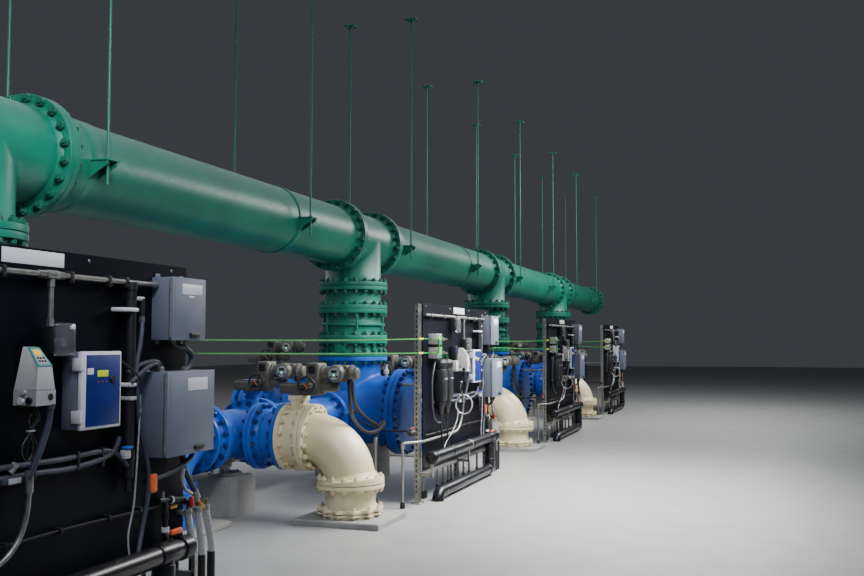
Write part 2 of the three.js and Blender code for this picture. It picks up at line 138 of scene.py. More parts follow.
def finish_of(name, low, high, grain, rough, metallic=0.0, bump=0.0002, coat=0.0, dust=0.0,
              soil="#6B6458", patch=0.35, specular=0.5, clear=0.0):
    """A finish whose colour drifts from low to high over patches of that many metres, with a bump and
    a change of roughness at the grain, a size in metres, and dust that settles on upward faces."""
    material = bpy.data.materials.new(name)
    material.use_nodes = True
    tree = material.node_tree
    tree.nodes.clear()
    place = node(tree, "TexCoord").outputs["Object"]
    drift = node(tree, "TexNoise", {"Vector": place, "Scale": 1 / patch, "Detail": 4.0})
    blend = node(tree, "MapRange", {"Value": drift.outputs["Fac"], "From Min": 0.35, "From Max": 0.65})
    colour = node(tree, "Mix", {0: blend.outputs[0], 6: linear(low), 7: linear(high)},
                  data_type="RGBA")
    fine = node(tree, "TexNoise", {"Vector": place, "Scale": 1 / grain, "Detail": 3.0})
    facing = node(tree, "SeparateXYZ", {"Vector": node(tree, "NewGeometry").outputs["Normal"]})
    lying = node(tree, "MapRange", {"Value": facing.outputs["Z"], "From Min": 0.6, "From Max": 1.0,
                                    "To Max": dust})
    spots = node(tree, "Math", {0: lying.outputs[0], 1: drift.outputs["Fac"]}, operation="MULTIPLY")
    dusty = node(tree, "Mix", {0: spots.outputs[0], 6: colour.outputs[2], 7: linear(soil)},
                 data_type="RGBA")
    roughness = node(tree, "MapRange", {"Value": fine.outputs["Fac"], "From Min": 0.3, "From Max": 0.7,
                                        "To Min": rough[0], "To Max": rough[1]})
    relief = node(tree, "Bump", {"Height": fine.outputs["Fac"], "Distance": bump, "Strength": 1.0})
    shader = node(tree, "BsdfPrincipled", {
        "Base Color": dusty.outputs[2], "Roughness": roughness.outputs[0],
        "Normal": relief.outputs[0], "Metallic": metallic, "Coat Weight": coat,
        "Coat Roughness": 0.25, "Specular IOR Level": specular, "Transmission Weight": clear})
    node(tree, "OutputMaterial", {"Surface": shader.outputs[0]})
    return material


def piece(name, parts, materials, body="gallery"):
    """One object from several closed skins, each with the number of its material, with no place of
    its own."""
    count = 0
    vertices, faces, numbers = [], [], []
    for (points, polygons), number in parts:
        vertices.append(points)
        faces.extend([[i + count for i in polygon] for polygon in polygons])
        numbers.extend([number] * len(polygons))
        count += len(points)
    mesh = bpy.data.meshes.new(name)
    mesh.from_pydata(np.vstack(vertices).tolist(), [], faces)
    for material in materials:
        mesh.materials.append(material)
    mesh.polygons.foreach_set("material_index", numbers)
    mesh.shade_smooth()
    mesh.set_sharp_from_angle(angle=math.radians(CREASE))
    thing = bpy.data.objects.new(name, mesh)
    bpy.context.scene.collection.objects.link(thing)
    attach(thing, body)
    return thing


def moved(parts, x=0.0, y=0.0, z=0.0):
    """The same skins, each point shifted by the same step."""
    return [((points + np.array([x, y, z]), polygons), number) for (points, polygons), number in parts]


def in_each_bay(name, parts, materials, stands_for=None):
    """The same piece in every bay, in place of that bay's solid where the solid's name is given."""
    for bay in range(BAYS):
        made = piece(f"{name}_{bay + 1}", moved(parts, x=bay * BAY), materials)
        if stands_for:
            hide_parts(f"{stands_for}_{bay + 1}")


# Extruded black PVC jacket over a steel spiral: satin, with a faint ripple every few millimetres.
conduit_jacket = finish_of("black_pvc_conduit_jacket", "#17181A", "#232426", 0.006, (0.42, 0.58),
                           bump=0.0003, dust=0.25)

WHIP_ROUTES = (
    ((-2.803, -1.171, 1.212), (-2.783, -1.168, 1.099), (-2.743, -1.163, 0.965), (-2.591, -1.142, 0.856),
     (-2.359, -1.112, 0.764), (-2.131, -1.098, 0.716), (-1.875, -1.077, 0.716), (-1.701, -1.060, 0.750),
     (-1.625, -1.036, 0.773), (-1.654, -1.011, 0.760), (-1.779, -1.017, 0.692), (-1.809, -1.021, 0.640)),
    ((-2.776, -1.190, 1.212), (-2.717, -1.177, 1.070), (-2.537, -1.148, 0.960), (-2.187, -1.091, 0.851),
     (-1.831, -1.050, 0.751), (-1.800, -1.035, 0.700), (-1.797, -1.030, 0.640)))
whips = [(shell(tube_rings(smooth_route(route, 5), WHIP_R)), 0) for route in WHIP_ROUTES]
in_each_bay("conduit_whips", whips, [conduit_jacket])


# Floor and light
# A plain grey floor under two long lamps over the aisle. Near the camera a bluish lamp and a narrow one
# lift the first bay and its header, and a broad one overhead and one to the wall side fill the shadows.
FLOOR_Z = -0.002    # just under the pads, so that the two faces don't fight


def area_light(name, place, aim, size, power, colour, spread=180):
    """A rectangular lamp at a place, turned to face a point, with its beam held to so many degrees."""
    data = bpy.data.lights.new(name, "AREA")
    data.shape = "RECTANGLE"
    data.size, data.size_y = size
    data.energy = power
    data.color = linear(colour)[:3]
    data.spread = math.radians(spread)
    lamp = bpy.data.objects.new(name, data)
    away = np.array(place, float) - np.array(aim, float)
    lamp.location = place
    lamp.rotation_euler = (math.acos(away[2] / np.linalg.norm(away)), 0,
                           math.atan2(away[1], away[0]) + math.pi / 2)
    bpy.context.scene.collection.objects.link(lamp)


area_light("aisle_light_near", (-3.2, -5.2, 4.2), (-0.5, -1.0, 1.2), (2.6, 1.6), 75, "#BCD0FF")
area_light("header_light_near", (-1.8, -2.8, 4.4), (0.0, 0.0, 2.6), (1.4, 1.0), 60, "#FFFFFF", 90)
area_light("aisle_light_middle", (5.6, -3.3, 3.4), (5.4, -2.3, 0.0), (5.0, 1.4), 480, "#FFFFFF", 130)
area_light("aisle_light_far", (15.0, -4.4, 5.2), (15.5, -0.4, 1.2), (9.0, 1.6), 700, "#FFFFFF")
area_light("wall_fill", (8.0, 5.5, 4.2), (8.0, 0.0, 1.2), (22.0, 2.0), 160, "#E8EEF8")
area_light("overhead_fill", (9.5, -0.5, 9.0), (9.5, -0.4, 0.0), (34.0, 16.0), 1200, "#EEF2FA")

world = bpy.data.worlds.new("grey_surroundings")
world.use_nodes = True
background = world.node_tree.nodes["Background"]
background.inputs["Color"].default_value = linear("#6E7278")
background.inputs["Strength"].default_value = 0.30
bpy.context.scene.world = world

# Grey epoxy floor coating: nearly even, with a soft gloss that mirrors the pipes as a blur.
floor_coating = finish_of("grey_floor_coating", "#8C8C8A", "#949492", 0.02, (0.42, 0.52), bump=0.00005)
floor_mesh = bpy.data.meshes.new("floor")
floor_mesh.from_pydata([(x, y, FLOOR_Z) for x, y in ((-30, -30), (60, -30), (60, 30), (-30, 30))], [],
                       [(0, 1, 2, 3)])
floor_mesh.materials.append(floor_coating)
floor = bpy.data.objects.new("floor", floor_mesh)
bpy.context.scene.collection.objects.link(floor)


# Header tees
# Ductile iron castings with a 24 inch run and a branch down, flanged at all three ends. The branch
# blends into the run with a cast fillet, and the whole is sprayed in sea green enamel.
HEADER_Z = 2.778
# A pipe size: radius of the barrel, then a flange's rim, thickness and bolt circle, a fitting's reach
# from its centre to its face, and the bolts with their nuts' radius and height.
PIPE24 = {"r": 0.327, "rim": 0.4065, "thick": 0.0476, "reach": 0.559, "circle": 0.3745, "bolts": 20,
          "nut": 0.0290, "high": 0.030}
SIDES = 72
FACE = 0.0025    # a raised face stands this far out, so that the rims of a joint are 5 mm apart
# Where a shape's own directions point: the first row is the way along its axis, the others lie across.
AXES = {
    "x": np.array([[1, 0, 0], [0, 1, 0], [0, 0, 1]], float),
    "y": np.array([[0, 1, 0], [0, 0, 1], [1, 0, 0]], float),
    "z": np.array([[0, 0, 1], [1, 0, 0], [0, 1, 0]], float),
}


def eased(profile, radius, steps=3):
    """A profile whose inner corners are rounded: on each corner p the curve
    (1-s)2 a + 2s(1-s) p + s2 b, where a and b lie the radius before and after p on its sides."""
    p = np.array(profile, float)
    before = p[:-2] - p[1:-1]
    after = p[2:] - p[1:-1]
    long_before = np.linalg.norm(before, axis=1)[:, None]
    long_after = np.linalg.norm(after, axis=1)[:, None]
    r = np.broadcast_to(np.asarray(radius, float), (len(p) - 2,))[:, None]
    a = p[1:-1] + before / long_before * np.minimum(r, 0.48 * long_before)
    b = p[1:-1] + after / long_after * np.minimum(r, 0.48 * long_after)
    s = np.linspace(0, 1, steps)[None, :, None]
    corner = (1 - s)**2 * a[:, None] + 2 * s * (1 - s) * p[1:-1, None] + s**2 * b[:, None]
    return np.vstack([p[:1], corner.reshape(-1, 2), p[-1:]])


def turned(profile, axis="z", at=(0, 0, 0), sides=SIDES, radius=0.003):
    """A turned body: the point at angle a is along the axis by the first number of the profile, and
    off it by radius (cos a, sin a)."""
    rows = eased(profile, radius)
    a = np.linspace(0, 2 * np.pi, sides, endpoint=False)
    along = np.broadcast_to(rows[:, :1], (len(rows), sides))
    local = np.stack([along, rows[:, 1:] * np.cos(a), rows[:, 1:] * np.sin(a)], axis=-1)
    return shell(local @ AXES[axis] + np.array(at, float))


def flange(face, way, size):
    """Profile of a flange from its raised face to the hub behind it, with a fillet down to the pipe.
    The pipe lies towards 1 or -1 along the axis."""
    thick = size["thick"] * way
    raised = size["circle"] - 0.030
    return [(face, raised), (face + way * FACE, raised), (face + way * FACE, size["rim"] - 0.002),
            (face + way * (FACE + 0.001), size["rim"]),
            (face + thick - way * 0.002, size["rim"]), (face + thick, size["rim"] - 0.003),
            (face + thick, size["r"] + 0.022), (face + thick + way * 0.035, size["r"])]


def flanged(start, end, size):
    """Profile of a length of pipe with a flange at each end, from face to face."""
    way = 1 if end > start else -1
    return flange(start, way, size) + flange(end, -way, size)[::-1]


def branch(run_r, size, basis, origin, reach, fillet, offset=(0.0, 0.0), sides=SIDES):
    """A branch off a round run. At angle a it stands at u = u0 + r cos a along the run and
    v = v0 + r sin a across it. The run's surface is at w = sqrt(R2 - v2), and in each plane of
    constant v a quarter circle of radius f sqrt|cos a| rounds the corner between them."""
    a = np.linspace(0, 2 * np.pi, sides, endpoint=False)
    cos, sin = np.cos(a), np.sin(a)
    r = size["r"]
    v = offset[1] + r * sin
    surface = np.sqrt(np.maximum(run_r**2 - v**2, 0))
    f = fillet * np.sqrt(np.abs(cos))
    turn = np.linspace(0, np.pi / 2, 7)[:, None]
    u = offset[0] + r * cos + np.sign(cos) * f * (1 - np.sin(turn))
    w = surface + f * (1 - np.cos(turn))
    first = np.stack([offset[0] + r * cos + np.sign(cos) * f, v, surface - 0.012], axis=-1)[None]
    curved = np.stack([u, np.broadcast_to(v, u.shape), w], axis=-1)
    tail = eased(flange(reach, -1, size)[::-1], 0.003)
    circles = np.stack([
        offset[0] + tail[:, 1:] * cos, offset[1] + tail[:, 1:] * sin,
        np.broadcast_to(tail[:, :1], (len(tail), sides))], axis=-1)
    rings = np.concatenate([first, curved, circles])
    return shell(rings @ np.array(basis, float) + np.array(origin, float))


# Sprayed alkyd enamel on sand-cast iron: gloss, a pebbled skin a few millimetres across, dust on top.
sea_green = finish_of("sea_green_enamel_on_cast_iron", "#0A6350", "#0F7660", 0.016, (0.34, 0.46),
                      bump=0.00018, coat=0.06, dust=0.18, specular=0.4)

r24, rim24, thick24, reach24 = PIPE24["r"], PIPE24["rim"], PIPE24["thick"], PIPE24["reach"]
tee_parts = [
    (turned(flanged(-reach24, reach24, PIPE24), "x"), 0),
    (branch(r24, PIPE24, [[1, 0, 0], [0, -1, 0], [0, 0, -1]], (0, 0, 0), reach24, 0.045), 0)]
in_each_bay("header_tee_casting", moved(tee_parts, z=HEADER_Z), [sea_green], "header_tee")


# Header pipes and their hangers
# Spun ductile iron pipe with screwed flanges, hung twice a bay: a steel strap under the pipe, a pair of
# triangular gussets with a lug plate on each side, and a threaded rod up to a plate on the ceiling.
CEILING_Z = 5.7
HANGER_PLACES = (0.85, BAY - 2.05)
ROD_Y = 0.425
COLLAR_END = 1.020    # the near end of each pipe is thickened to here, by 7 mm
GAP = 0.0003    # left between pieces that meet, as between the solids


def plate(outline, axis, low, high, at=(0, 0, 0)):
    """A flat plate: its outline is carried along the axis from low to high, with 1 mm chamfers."""
    p = np.array(outline, float)
    middle = p.mean(axis=0)
    inside = middle + (p - middle) * (1 - 0.001 / np.linalg.norm(p - middle, axis=1, keepdims=True))
    rows = [(low, inside), (low + 0.001, p), (high - 0.001, p), (high, inside)]
    local = np.stack([np.column_stack([np.full(len(p), along), shape]) for along, shape in rows])
    return shell(local @ AXES[axis] + np.array(at, float))


def rounded_box(low, high, radius=0.004, steps=3, axis="y"):
    """A box with rounded edges: a rounded rectangle carried along an axis, drawn in at both ends by
    radius (1 - cos t) where it stands radius (1 - sin t) from the end."""
    order = {"x": (0, 1, 2), "y": (1, 2, 0), "z": (2, 0, 1)}[axis]
    low, high = np.array(low, float)[list(order)], np.array(high, float)[list(order)]
    radius = min(radius, 0.49 * float((high - low).min()))
    t = np.linspace(0, np.pi / 2, steps)
    inset = np.concatenate([radius * (1 - np.sin(t)), radius * (1 - np.sin(t[::-1]))])
    along = np.concatenate([low[0] + radius * (1 - np.cos(t)), high[0] - radius * (1 - np.cos(t[::-1]))])
    a = np.concatenate([t + quarter * np.pi / 2 for quarter in range(4)])
    sign = np.repeat([[1, 1], [-1, 1], [-1, -1], [1, -1]], steps, axis=0)
    half = (high[1:] - low[1:]) / 2
    centre = (high[1:] + low[1:]) / 2
    core = sign * (half - radius)
    reach = (radius - inset)[:, None, None]
    flat = centre + core[None] + reach * np.stack([np.cos(a), np.sin(a)], axis=-1)[None]
    local = np.concatenate([np.broadcast_to(along[:, None, None], (len(along), len(a), 1)), flat], axis=2)
    return shell(local @ AXES[axis])


def nut(axis, at, across=0.0165, high=0.016):
    """A hexagon nut, chamfered at both ends: six points at each of four heights."""
    return turned([(0, across * 0.9), (high * 0.12, across), (high * 0.88, across), (high, across * 0.9)],
                  axis, at, sides=6, radius=0.0)


def hanger(x):
    """The parts of one hanger, with the pipe's axis at height 0: a strap 80 mm wide round the pipe, then
    on each side two gussets, a lug plate, the rod with its nuts, and the plate at the rod's top."""
    top = CEILING_Z - HEADER_Z
    parts = [turned([(x - 0.040, r24), (x - 0.040, r24 + 0.009), (x + 0.040, r24 + 0.009),
                     (x + 0.040, r24)], "x", radius=0.002)]
    for side in (-1, 1):
        rod_y = side * ROD_Y
        for gusset_x in (-0.048, 0.048):
            outline = [(side * (r24 - 0.02), -0.125), (side * (ROD_Y + 0.04), -0.030),
                       (side * (ROD_Y + 0.04), -0.004), (side * (r24 - 0.05), -0.004)]
            parts.append(plate(outline, "x", x + gusset_x - 0.005, x + gusset_x + 0.005))
        inner, outer = sorted([side * (r24 - 0.02), side * (ROD_Y + 0.048)])
        parts += [
            rounded_box((x - 0.062, inner, -0.006), (x + 0.062, outer, 0.006), 0.002, 2),
            turned([(-0.165, 0.0085), (-0.161, 0.010), (top - 0.008, 0.010)], "z", (x, rod_y, 0), 10, 0.0),
            nut("z", (x, rod_y, -0.024)),
            nut("z", (x, rod_y, 0.008)),
            rounded_box((x - 0.075, rod_y - 0.075, top - 0.012), (x + 0.075, rod_y + 0.075, top), 0.002, 2),
            nut("z", (x, rod_y, top - 0.030))]
        parts += [nut("z", (x + along, rod_y + across, top - 0.022), 0.009, 0.011)
                  for along, across in ((-0.055, -0.055), (0.055, -0.055), (0.055, 0.055), (-0.055, 0.055))]
    return parts


pipe_profile = flange(reach24 + GAP, 1, PIPE24)[:-1]
pipe_profile += [(reach24 + 0.080, r24 + 0.007), (COLLAR_END, r24 + 0.007), (COLLAR_END + 0.004, r24)]
pipe_profile += flange(BAY - reach24 - GAP, -1, PIPE24)[::-1]
pipe_parts = [(turned(pipe_profile, "x"), 0)]
pipe_parts += [(part, 0) for x in HANGER_PLACES for part in hanger(x)]
# Pipe barrels are spun, so their skin is smoother than the castings'.
green_barrel = finish_of("sea_green_enamel_on_spun_pipe", "#0A6350", "#10785F", 0.020, (0.36, 0.48),
                         bump=0.00012, coat=0.05, dust=0.16, patch=0.8, specular=0.4)
in_each_bay("header_pipe_and_hangers", moved(pipe_parts, z=HEADER_Z), [green_barrel],
            "header_pipe")


# Header end blinds
# Flat ductile iron blind flanges that close the built length where the real header runs on.
# Each has a boss 4 mm high on its outer face, given here by where the rim starts and ends.
for name, x, start, end in (("near", -reach24 - GAP - thick24, 0.004, thick24),
                            ("far", BAYS * BAY - reach24, 0.0, thick24 - 0.004)):
    disc = [(0, 0.30), (start, 0.31), (start, rim24), (end, rim24), (end, 0.31), (thick24, 0.30)]
    blind = piece(f"header_blind_disc_{name}", [(turned(disc, "x", (x, 0, HEADER_Z)), 0)],
                  [sea_green])
    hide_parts(f"header_blind_{name}")


# Drop spools
# A short flanged spool on a restrained flange adapter: gland ring, sleeve and six long tie rods that
# hold the adapter's flange to the spool's. Painted after assembly, nuts and all.
DROP_TOP = HEADER_Z - reach24 - GAP
DROP_PAIR = 1.950     # height of the joint between the spool and the adapter
DROP_JOINT = 1.596    # and of the one under the adapter
RING = (1.755, 1.781)


def tie_rods(count, circle, low, high, r):
    """Threaded rods that stand round a circle, from low to high, with chamfered ends."""
    parts = []
    for i in range(count):
        angle = (i + 0.5) * 2 * math.pi / count
        at = (circle * math.cos(angle), circle * math.sin(angle), 0)
        parts.append(turned([(low, r * 0.8), (low + 0.002, r), (high - 0.002, r), (high, r * 0.8)], "z", at,
                            8, 0.0))
    return parts


adapter = [
    (DROP_PAIR - GAP, rim24 - 0.002), (DROP_PAIR - GAP - 0.001, rim24),
    (DROP_PAIR - thick24, rim24), (DROP_PAIR - thick24, r24 + 0.012), (DROP_PAIR - thick24 - 0.03, r24),
    (RING[1] + 0.012, r24), (RING[1], r24 + 0.03), (RING[1], r24 + 0.052), (RING[0], r24 + 0.052),
    (RING[0], r24 + 0.022), (DROP_JOINT + thick24 + 0.02, r24 + 0.022),
    (DROP_JOINT + thick24, r24 + 0.04), (DROP_JOINT + thick24, rim24), (DROP_JOINT + 0.001, rim24),
    (DROP_JOINT, rim24 - 0.002)]
spool_parts = [(turned(flanged(DROP_TOP, DROP_PAIR + GAP, PIPE24), "z"), 0), (turned(adapter, "z"), 0)]
spool_parts += [(rod, 0) for rod in tie_rods(6, 0.374, DROP_JOINT + 0.01, DROP_PAIR - 0.01, 0.014)]
in_each_bay("drop_spool_and_adapter", spool_parts, [sea_green], "drop_spool")


# Drop valves
# Double-flanged 24 inch butterfly valves in the green line, with a shaft boss to the rear and a
# quarter-turn gear unit bolted to it.
BLUE_TOP = 1.395
DROP_SHAFT_Z = 1.487


def valve_body(low, high, size, waist):
    """Profile of a short valve: a flange at each end and a waist between them with small fillets."""
    rim, thick, raised = size["rim"], size["thick"], size["circle"] - 0.030
    return [(low, raised), (low + FACE, raised), (low + FACE, rim), (low + thick, rim),
            (low + thick, waist + 0.012), (low + thick + 0.02, waist),
            (high - thick - 0.02, waist), (high - thick, waist + 0.012),
            (high - thick, rim), (high - FACE, rim), (high - FACE, raised), (high, raised)]


def circled(part, count, axis="z", at=(0, 0, 0), phase=0.5):
    """Copies of a skin round an axis through the origin, then shifted: copy i is turned by
    (i + phase) / count of a whole turn."""
    points, polygons = part
    local = points @ AXES[axis].T
    a = ((np.arange(count) + phase) * 2 * np.pi / count)[:, None]
    copies = np.stack([
        np.broadcast_to(local[:, 0], (count, len(local))),
        local[:, 1] * np.cos(a) - local[:, 2] * np.sin(a),
        local[:, 1] * np.sin(a) + local[:, 2] * np.cos(a)], axis=-1)
    repeated = [[j + i * len(points) for j in polygon] for i in range(count) for polygon in polygons]
    return (copies @ AXES[axis] + np.array(at, float)).reshape(-1, 3), repeated


# The body, the two ends of its shaft, and the gear case with its round cover on the far end.
drop_valve_parts = [(turned(valve_body(BLUE_TOP + GAP, DROP_JOINT - GAP, PIPE24, 0.350), "z"), 0)]
drop_valve_parts += [(turned(profile, "x", (0, 0, DROP_SHAFT_Z), 24), 0) for profile in (
    [(-0.400, 0.048), (-0.400, 0.058), (-0.30, 0.066)],
    [(0.30, 0.075), (0.400, 0.060), (0.430, 0.060), (0.430, 0.088), (0.452, 0.088)])]
drop_valve_parts += [
    (rounded_box((0.450, -0.130, 1.205), (0.690, 0.110, 1.560), 0.025, 4, "x"), 1),
    (turned([(0.685, 0.085), (0.700, 0.085), (0.708, 0.070)], "x", (0, -0.010, 1.450), 28), 1)]


# Valve actuators
# Electric quarter-turn actuators: a cast aluminium gear case with a handwheel, a control head with a
# round window and a status light, a ribbed housing behind it, a small motor below, and an arm of the
# gear unit on the valve's neck. Warm grey stoved coating with black handwheels and plates.

# Stoved coating over die-cast aluminium: a dull sheen on a slightly grainy skin.
actuator_grey = finish_of("warm_grey_coating_on_cast_aluminium", "#4C4A44", "#59574F", 0.004,
                          (0.38, 0.52), bump=0.00025, dust=0.3, patch=0.15)
# Glass-filled polyamide: black, fine-grained, with a broad grey highlight.
black_polyamide = finish_of("black_polyamide_moulding", "#0E0F10", "#18191B", 0.003, (0.4, 0.55),
                            bump=0.00015, dust=0.2, patch=0.1)
# Printed film behind a clear window: pale and smooth.
window_face = finish_of("printed_control_window", "#8F9390", "#A4A8A4", 0.006, (0.15, 0.22),
                        bump=0.00002, patch=0.02)
# Bright zinc plating on steel: a soft silvery mirror, dulled by handling.
zinc_plate = finish_of("zinc_plated_steel_fittings", "#9B9A92", "#B7B5AB", 0.003, (0.28, 0.45),
                       metallic=1.0, bump=0.0001, dust=0.2, patch=0.05)


def lit_finish(name, colour, power):
    """A small indicator or display that gives off its own light."""
    material = finish_of(name, colour, colour, 0.002, (0.2, 0.3), bump=0.0)
    shader = material.node_tree.nodes["Principled BSDF"]
    shader.inputs["Emission Color"].default_value = linear(colour)
    shader.inputs["Emission Strength"].default_value = power
    return material


# A diode behind a small moulded lens: an even green glow, brighter than what lies round it.
status_green = lit_finish("green_status_light", "#38F0B0", 3.0)
# Moulded polyamide in orange: strong colour, little shine.
orange_mark = finish_of("orange_moulded_mark", "#C8541E", "#D8632A", 0.004, (0.4, 0.5), patch=0.02)
# Each part of an actuator has one of these numbers, its finish's place in the list below.
COATING, BLACK, WINDOW, LIGHT, SCREW, MARK = range(6)
ACTUATOR_FINISHES = [actuator_grey, black_polyamide, window_face, status_green, zinc_plate]
DRIVE_FINISHES = ACTUATOR_FINISHES + [orange_mark]
# From an actuator's origin, on its motor's axis over the neck, to the middle of its handwheel.
WHEEL_X, WHEEL_Y, WHEEL_Z = -0.193, -0.207, -0.105
RIM_R = 0.076
GRIP_R = 0.0085
MARK_TILT = 52    # degrees, of the orange mark on the hub


def handwheel_parts(x, y, z):
    """A handwheel about an axis along X: three dished spokes, a hub and a rim, whose points at angles a
    round the wheel and b round the grip lie at g sin b along X and at (R + g cos b) (cos a, sin a)."""
    a = np.linspace(0, 2 * np.pi, 48, endpoint=False)
    b = np.linspace(0, 2 * np.pi, 12, endpoint=False)
    radius = RIM_R + GRIP_R * np.cos(b)[None, :]
    rim = np.stack([np.broadcast_to(GRIP_R * np.sin(b)[None, :], (48, 12)),
                    radius * np.cos(a)[:, None], radius * np.sin(a)[:, None]], axis=-1)
    index = np.arange(48 * 12).reshape(48, 12)
    quads = np.stack([index, np.roll(index, -1, 1), np.roll(np.roll(index, -1, 1), -1, 0),
                      np.roll(index, -1, 0)], axis=-1).reshape(-1, 4)
    spoke = turned([(0.016, 0.0065), (0.030, 0.0062), (0.060, 0.0058), (0.073, 0.007)], "z", sides=10)
    parts = [((rim.reshape(-1, 3), quads.tolist()), BLACK)]
    parts.append((circled(spoke, 3, "x", phase=0.25), BLACK))
    parts.append((turned([(-0.016, 0.014), (-0.014, 0.018), (0.012, 0.020), (0.0297, 0.020)], "x",
                         sides=24), BLACK))
    mark = rounded_box((-0.0185, -0.026, -0.005), (-0.0155, 0.026, 0.005), 0.001, 2, "x")
    tilt = math.radians(MARK_TILT)
    points = mark[0] @ np.array([[1, 0, 0], [0, math.cos(tilt), math.sin(tilt)],
                                 [0, -math.sin(tilt), math.cos(tilt)]])
    parts.append(((points, mark[1]), MARK))
    return moved(parts, x, y, z)


def actuator_parts(x, y, z):
    """An actuator whose motor axis runs along -Y through (x, z), with its gear unit towards +X. In
    order: the gear case with its plates, shaft bosses and arm, the motor, the control head with its
    window, buttons and light, the ribbed housing, two cable glands and the screws."""
    shaft, face = (0, WHEEL_Y, WHEEL_Z), (0, -0.445, 0)
    parts = [
        (rounded_box((-0.090, -0.271, -0.195), (0.090, -0.151, 0.090), 0.014, 4, "y"), COATING),
        (rounded_box((-0.076, -0.276, -0.180), (0.076, -0.146, 0.076), 0.006, 3, "y"), COATING),
        (rounded_box((-0.098, -0.245, 0.000), (-0.088, -0.177, 0.066), 0.003, 2, "x"), BLACK),
        (turned([(-0.104, 0.046), (-0.098, 0.052), (-0.085, 0.055)], "x", shaft, 32), COATING),
        (turned([(-0.163, 0.020), (-0.160, 0.026), (-0.085, 0.026)], "x", shaft, 24), COATING),
        (turned([(0.090, 0.030), (0.106, 0.028), (0.112, 0.018)], "x", shaft, 24), COATING),
        (rounded_box((0.017, -0.171, -0.190), (0.152, 0.165, -0.100), 0.022, 4, "z"), COATING),
        (rounded_box((0.035, -0.150, -0.104), (0.134, 0.145, -0.094), 0.004, 2, "z"), BLACK),
        (rounded_box((0.012, -0.090, -0.160), (0.019, -0.040, -0.130), 0.002, 2, "x"), BLACK),
        (turned([(-0.616, 0.036), (-0.610, 0.050), (-0.575, 0.054), (-0.575, 0.066), (-0.563, 0.068),
                 (-0.563, 0.074), (-0.545, 0.074), (-0.545, 0.067), (-0.395, 0.065), (-0.395, 0.072),
                 (-0.372, 0.072), (-0.372, 0.060), (-0.300, 0.060), (-0.300, 0.070), (-0.262, 0.070)],
                "y", sides=48), COATING),
        (rounded_box((-0.060, -0.535, -0.074), (0.082, -0.395, 0.070), 0.016, 4, "y"), COATING),
        (turned([(-0.143, 0.052), (-0.141, 0.064), (-0.128, 0.074), (-0.110, 0.076), (-0.030, 0.076)],
                "x", face, 48), COATING),
        (turned([(-0.1452, 0.050), (-0.1448, 0.053), (-0.138, 0.054)], "x", face, 40), WINDOW),
        (rounded_box((-0.1466, -0.472, 0.008), (-0.1440, -0.418, 0.030), 0.001, 2, "x"), BLACK),
        (rounded_box((-0.1466, -0.482, -0.034), (-0.1440, -0.464, -0.018), 0.001, 2, "x"), BLACK),
        (rounded_box((-0.1466, -0.426, -0.034), (-0.1440, -0.408, -0.018), 0.001, 2, "x"), BLACK),
        (turned([(-0.1490, 0.004), (-0.1482, 0.0065), (-0.1440, 0.007)], "x", (0, -0.445, -0.010), 16),
         LIGHT),
        (turned([(-0.425, 0.030), (-0.418, 0.042), (-0.400, 0.046), (-0.262, 0.046)], "y",
                (0.010, 0, -0.118), 36), COATING),
        (turned([(-0.095, 0.013), (-0.070, 0.013), (-0.070, 0.021), (-0.045, 0.021)], "z",
                (0.0, -0.520, 0), 6, 0.0), BLACK),
        (turned([(-0.100, 0.012), (-0.075, 0.012), (-0.075, 0.020), (-0.045, 0.020)], "z",
                (-0.035, -0.555, 0), 6, 0.0), BLACK),
        (circled(turned([(-0.148, 0.006), (-0.141, 0.006)], "y", (0.062, 0, 0.062), 6, 0.0), 4, "y",
                 (0, 0, -0.052), 0.0), SCREW),
    ]
    parts += [(circled(turned([(ring, 0.0045), (ring + 0.007, 0.0045)], "y", (0.071, 0, 0), 6, 0.0), 6,
                       "y"), SCREW) for ring in (-0.582, -0.402)]
    return moved(parts, x, y, z)


def drive_with_wheel(x, y, z):
    """An actuator with its handwheel, as one piece."""
    return actuator_parts(x, y, z) + handwheel_parts(x + WHEEL_X, y + WHEEL_Y, z + WHEEL_Z)


def gear_unit(x, y, low, high):
    """The round quarter-turn gear unit on a valve's neck, with a cover plate and its cap screws."""
    screw = turned([(high - 0.012, 0.008), (high - 0.004, 0.008), (high - 0.003, 0.006)], "z",
                   (0.074, 0, 0), 6, 0.0)
    return [
        (turned([(low, 0.080), (low + 0.004, 0.092), (low + 0.020, 0.092), (low + 0.022, 0.084),
                 (high - 0.030, 0.084), (high - 0.028, 0.092), (high - 0.016, 0.092),
                 (high - 0.010, 0.085), (high - 0.010, 0.040), (high - 0.002, 0.036),
                 (high, 0.030)], "z", (x, y, 0), 40), COATING),
        (circled(screw, 8, "z", (x, y, 0)), SCREW)]


# The drop valves are made here, because their gear cases share the actuators' coating.
DROP_DRIVE = (0.538, -0.070, 1.320)
in_each_bay("drop_valve_body", drop_valve_parts, [sea_green, actuator_grey], "drop_valve")
in_each_bay("drop_valve_actuator", drive_with_wheel(*DROP_DRIVE), DRIVE_FINISHES)


# Flange bolts
# Zinc-plated studs with a hexagon nut on each side, painted over with the line: twenty to a 24 inch
# joint, twenty-eight to a 30 inch one and sixteen to a 16 inch one.
PIPE30 = {"r": 0.406, "rim": 0.492, "thick": 0.054, "reach": 0.635, "circle": 0.457, "bolts": 28,
          "nut": 0.0290, "high": 0.031}
PIPE16 = {"r": 0.221, "rim": 0.2985, "thick": 0.0365, "reach": 0.381, "circle": 0.270, "bolts": 16,
          "nut": 0.0238, "high": 0.025}


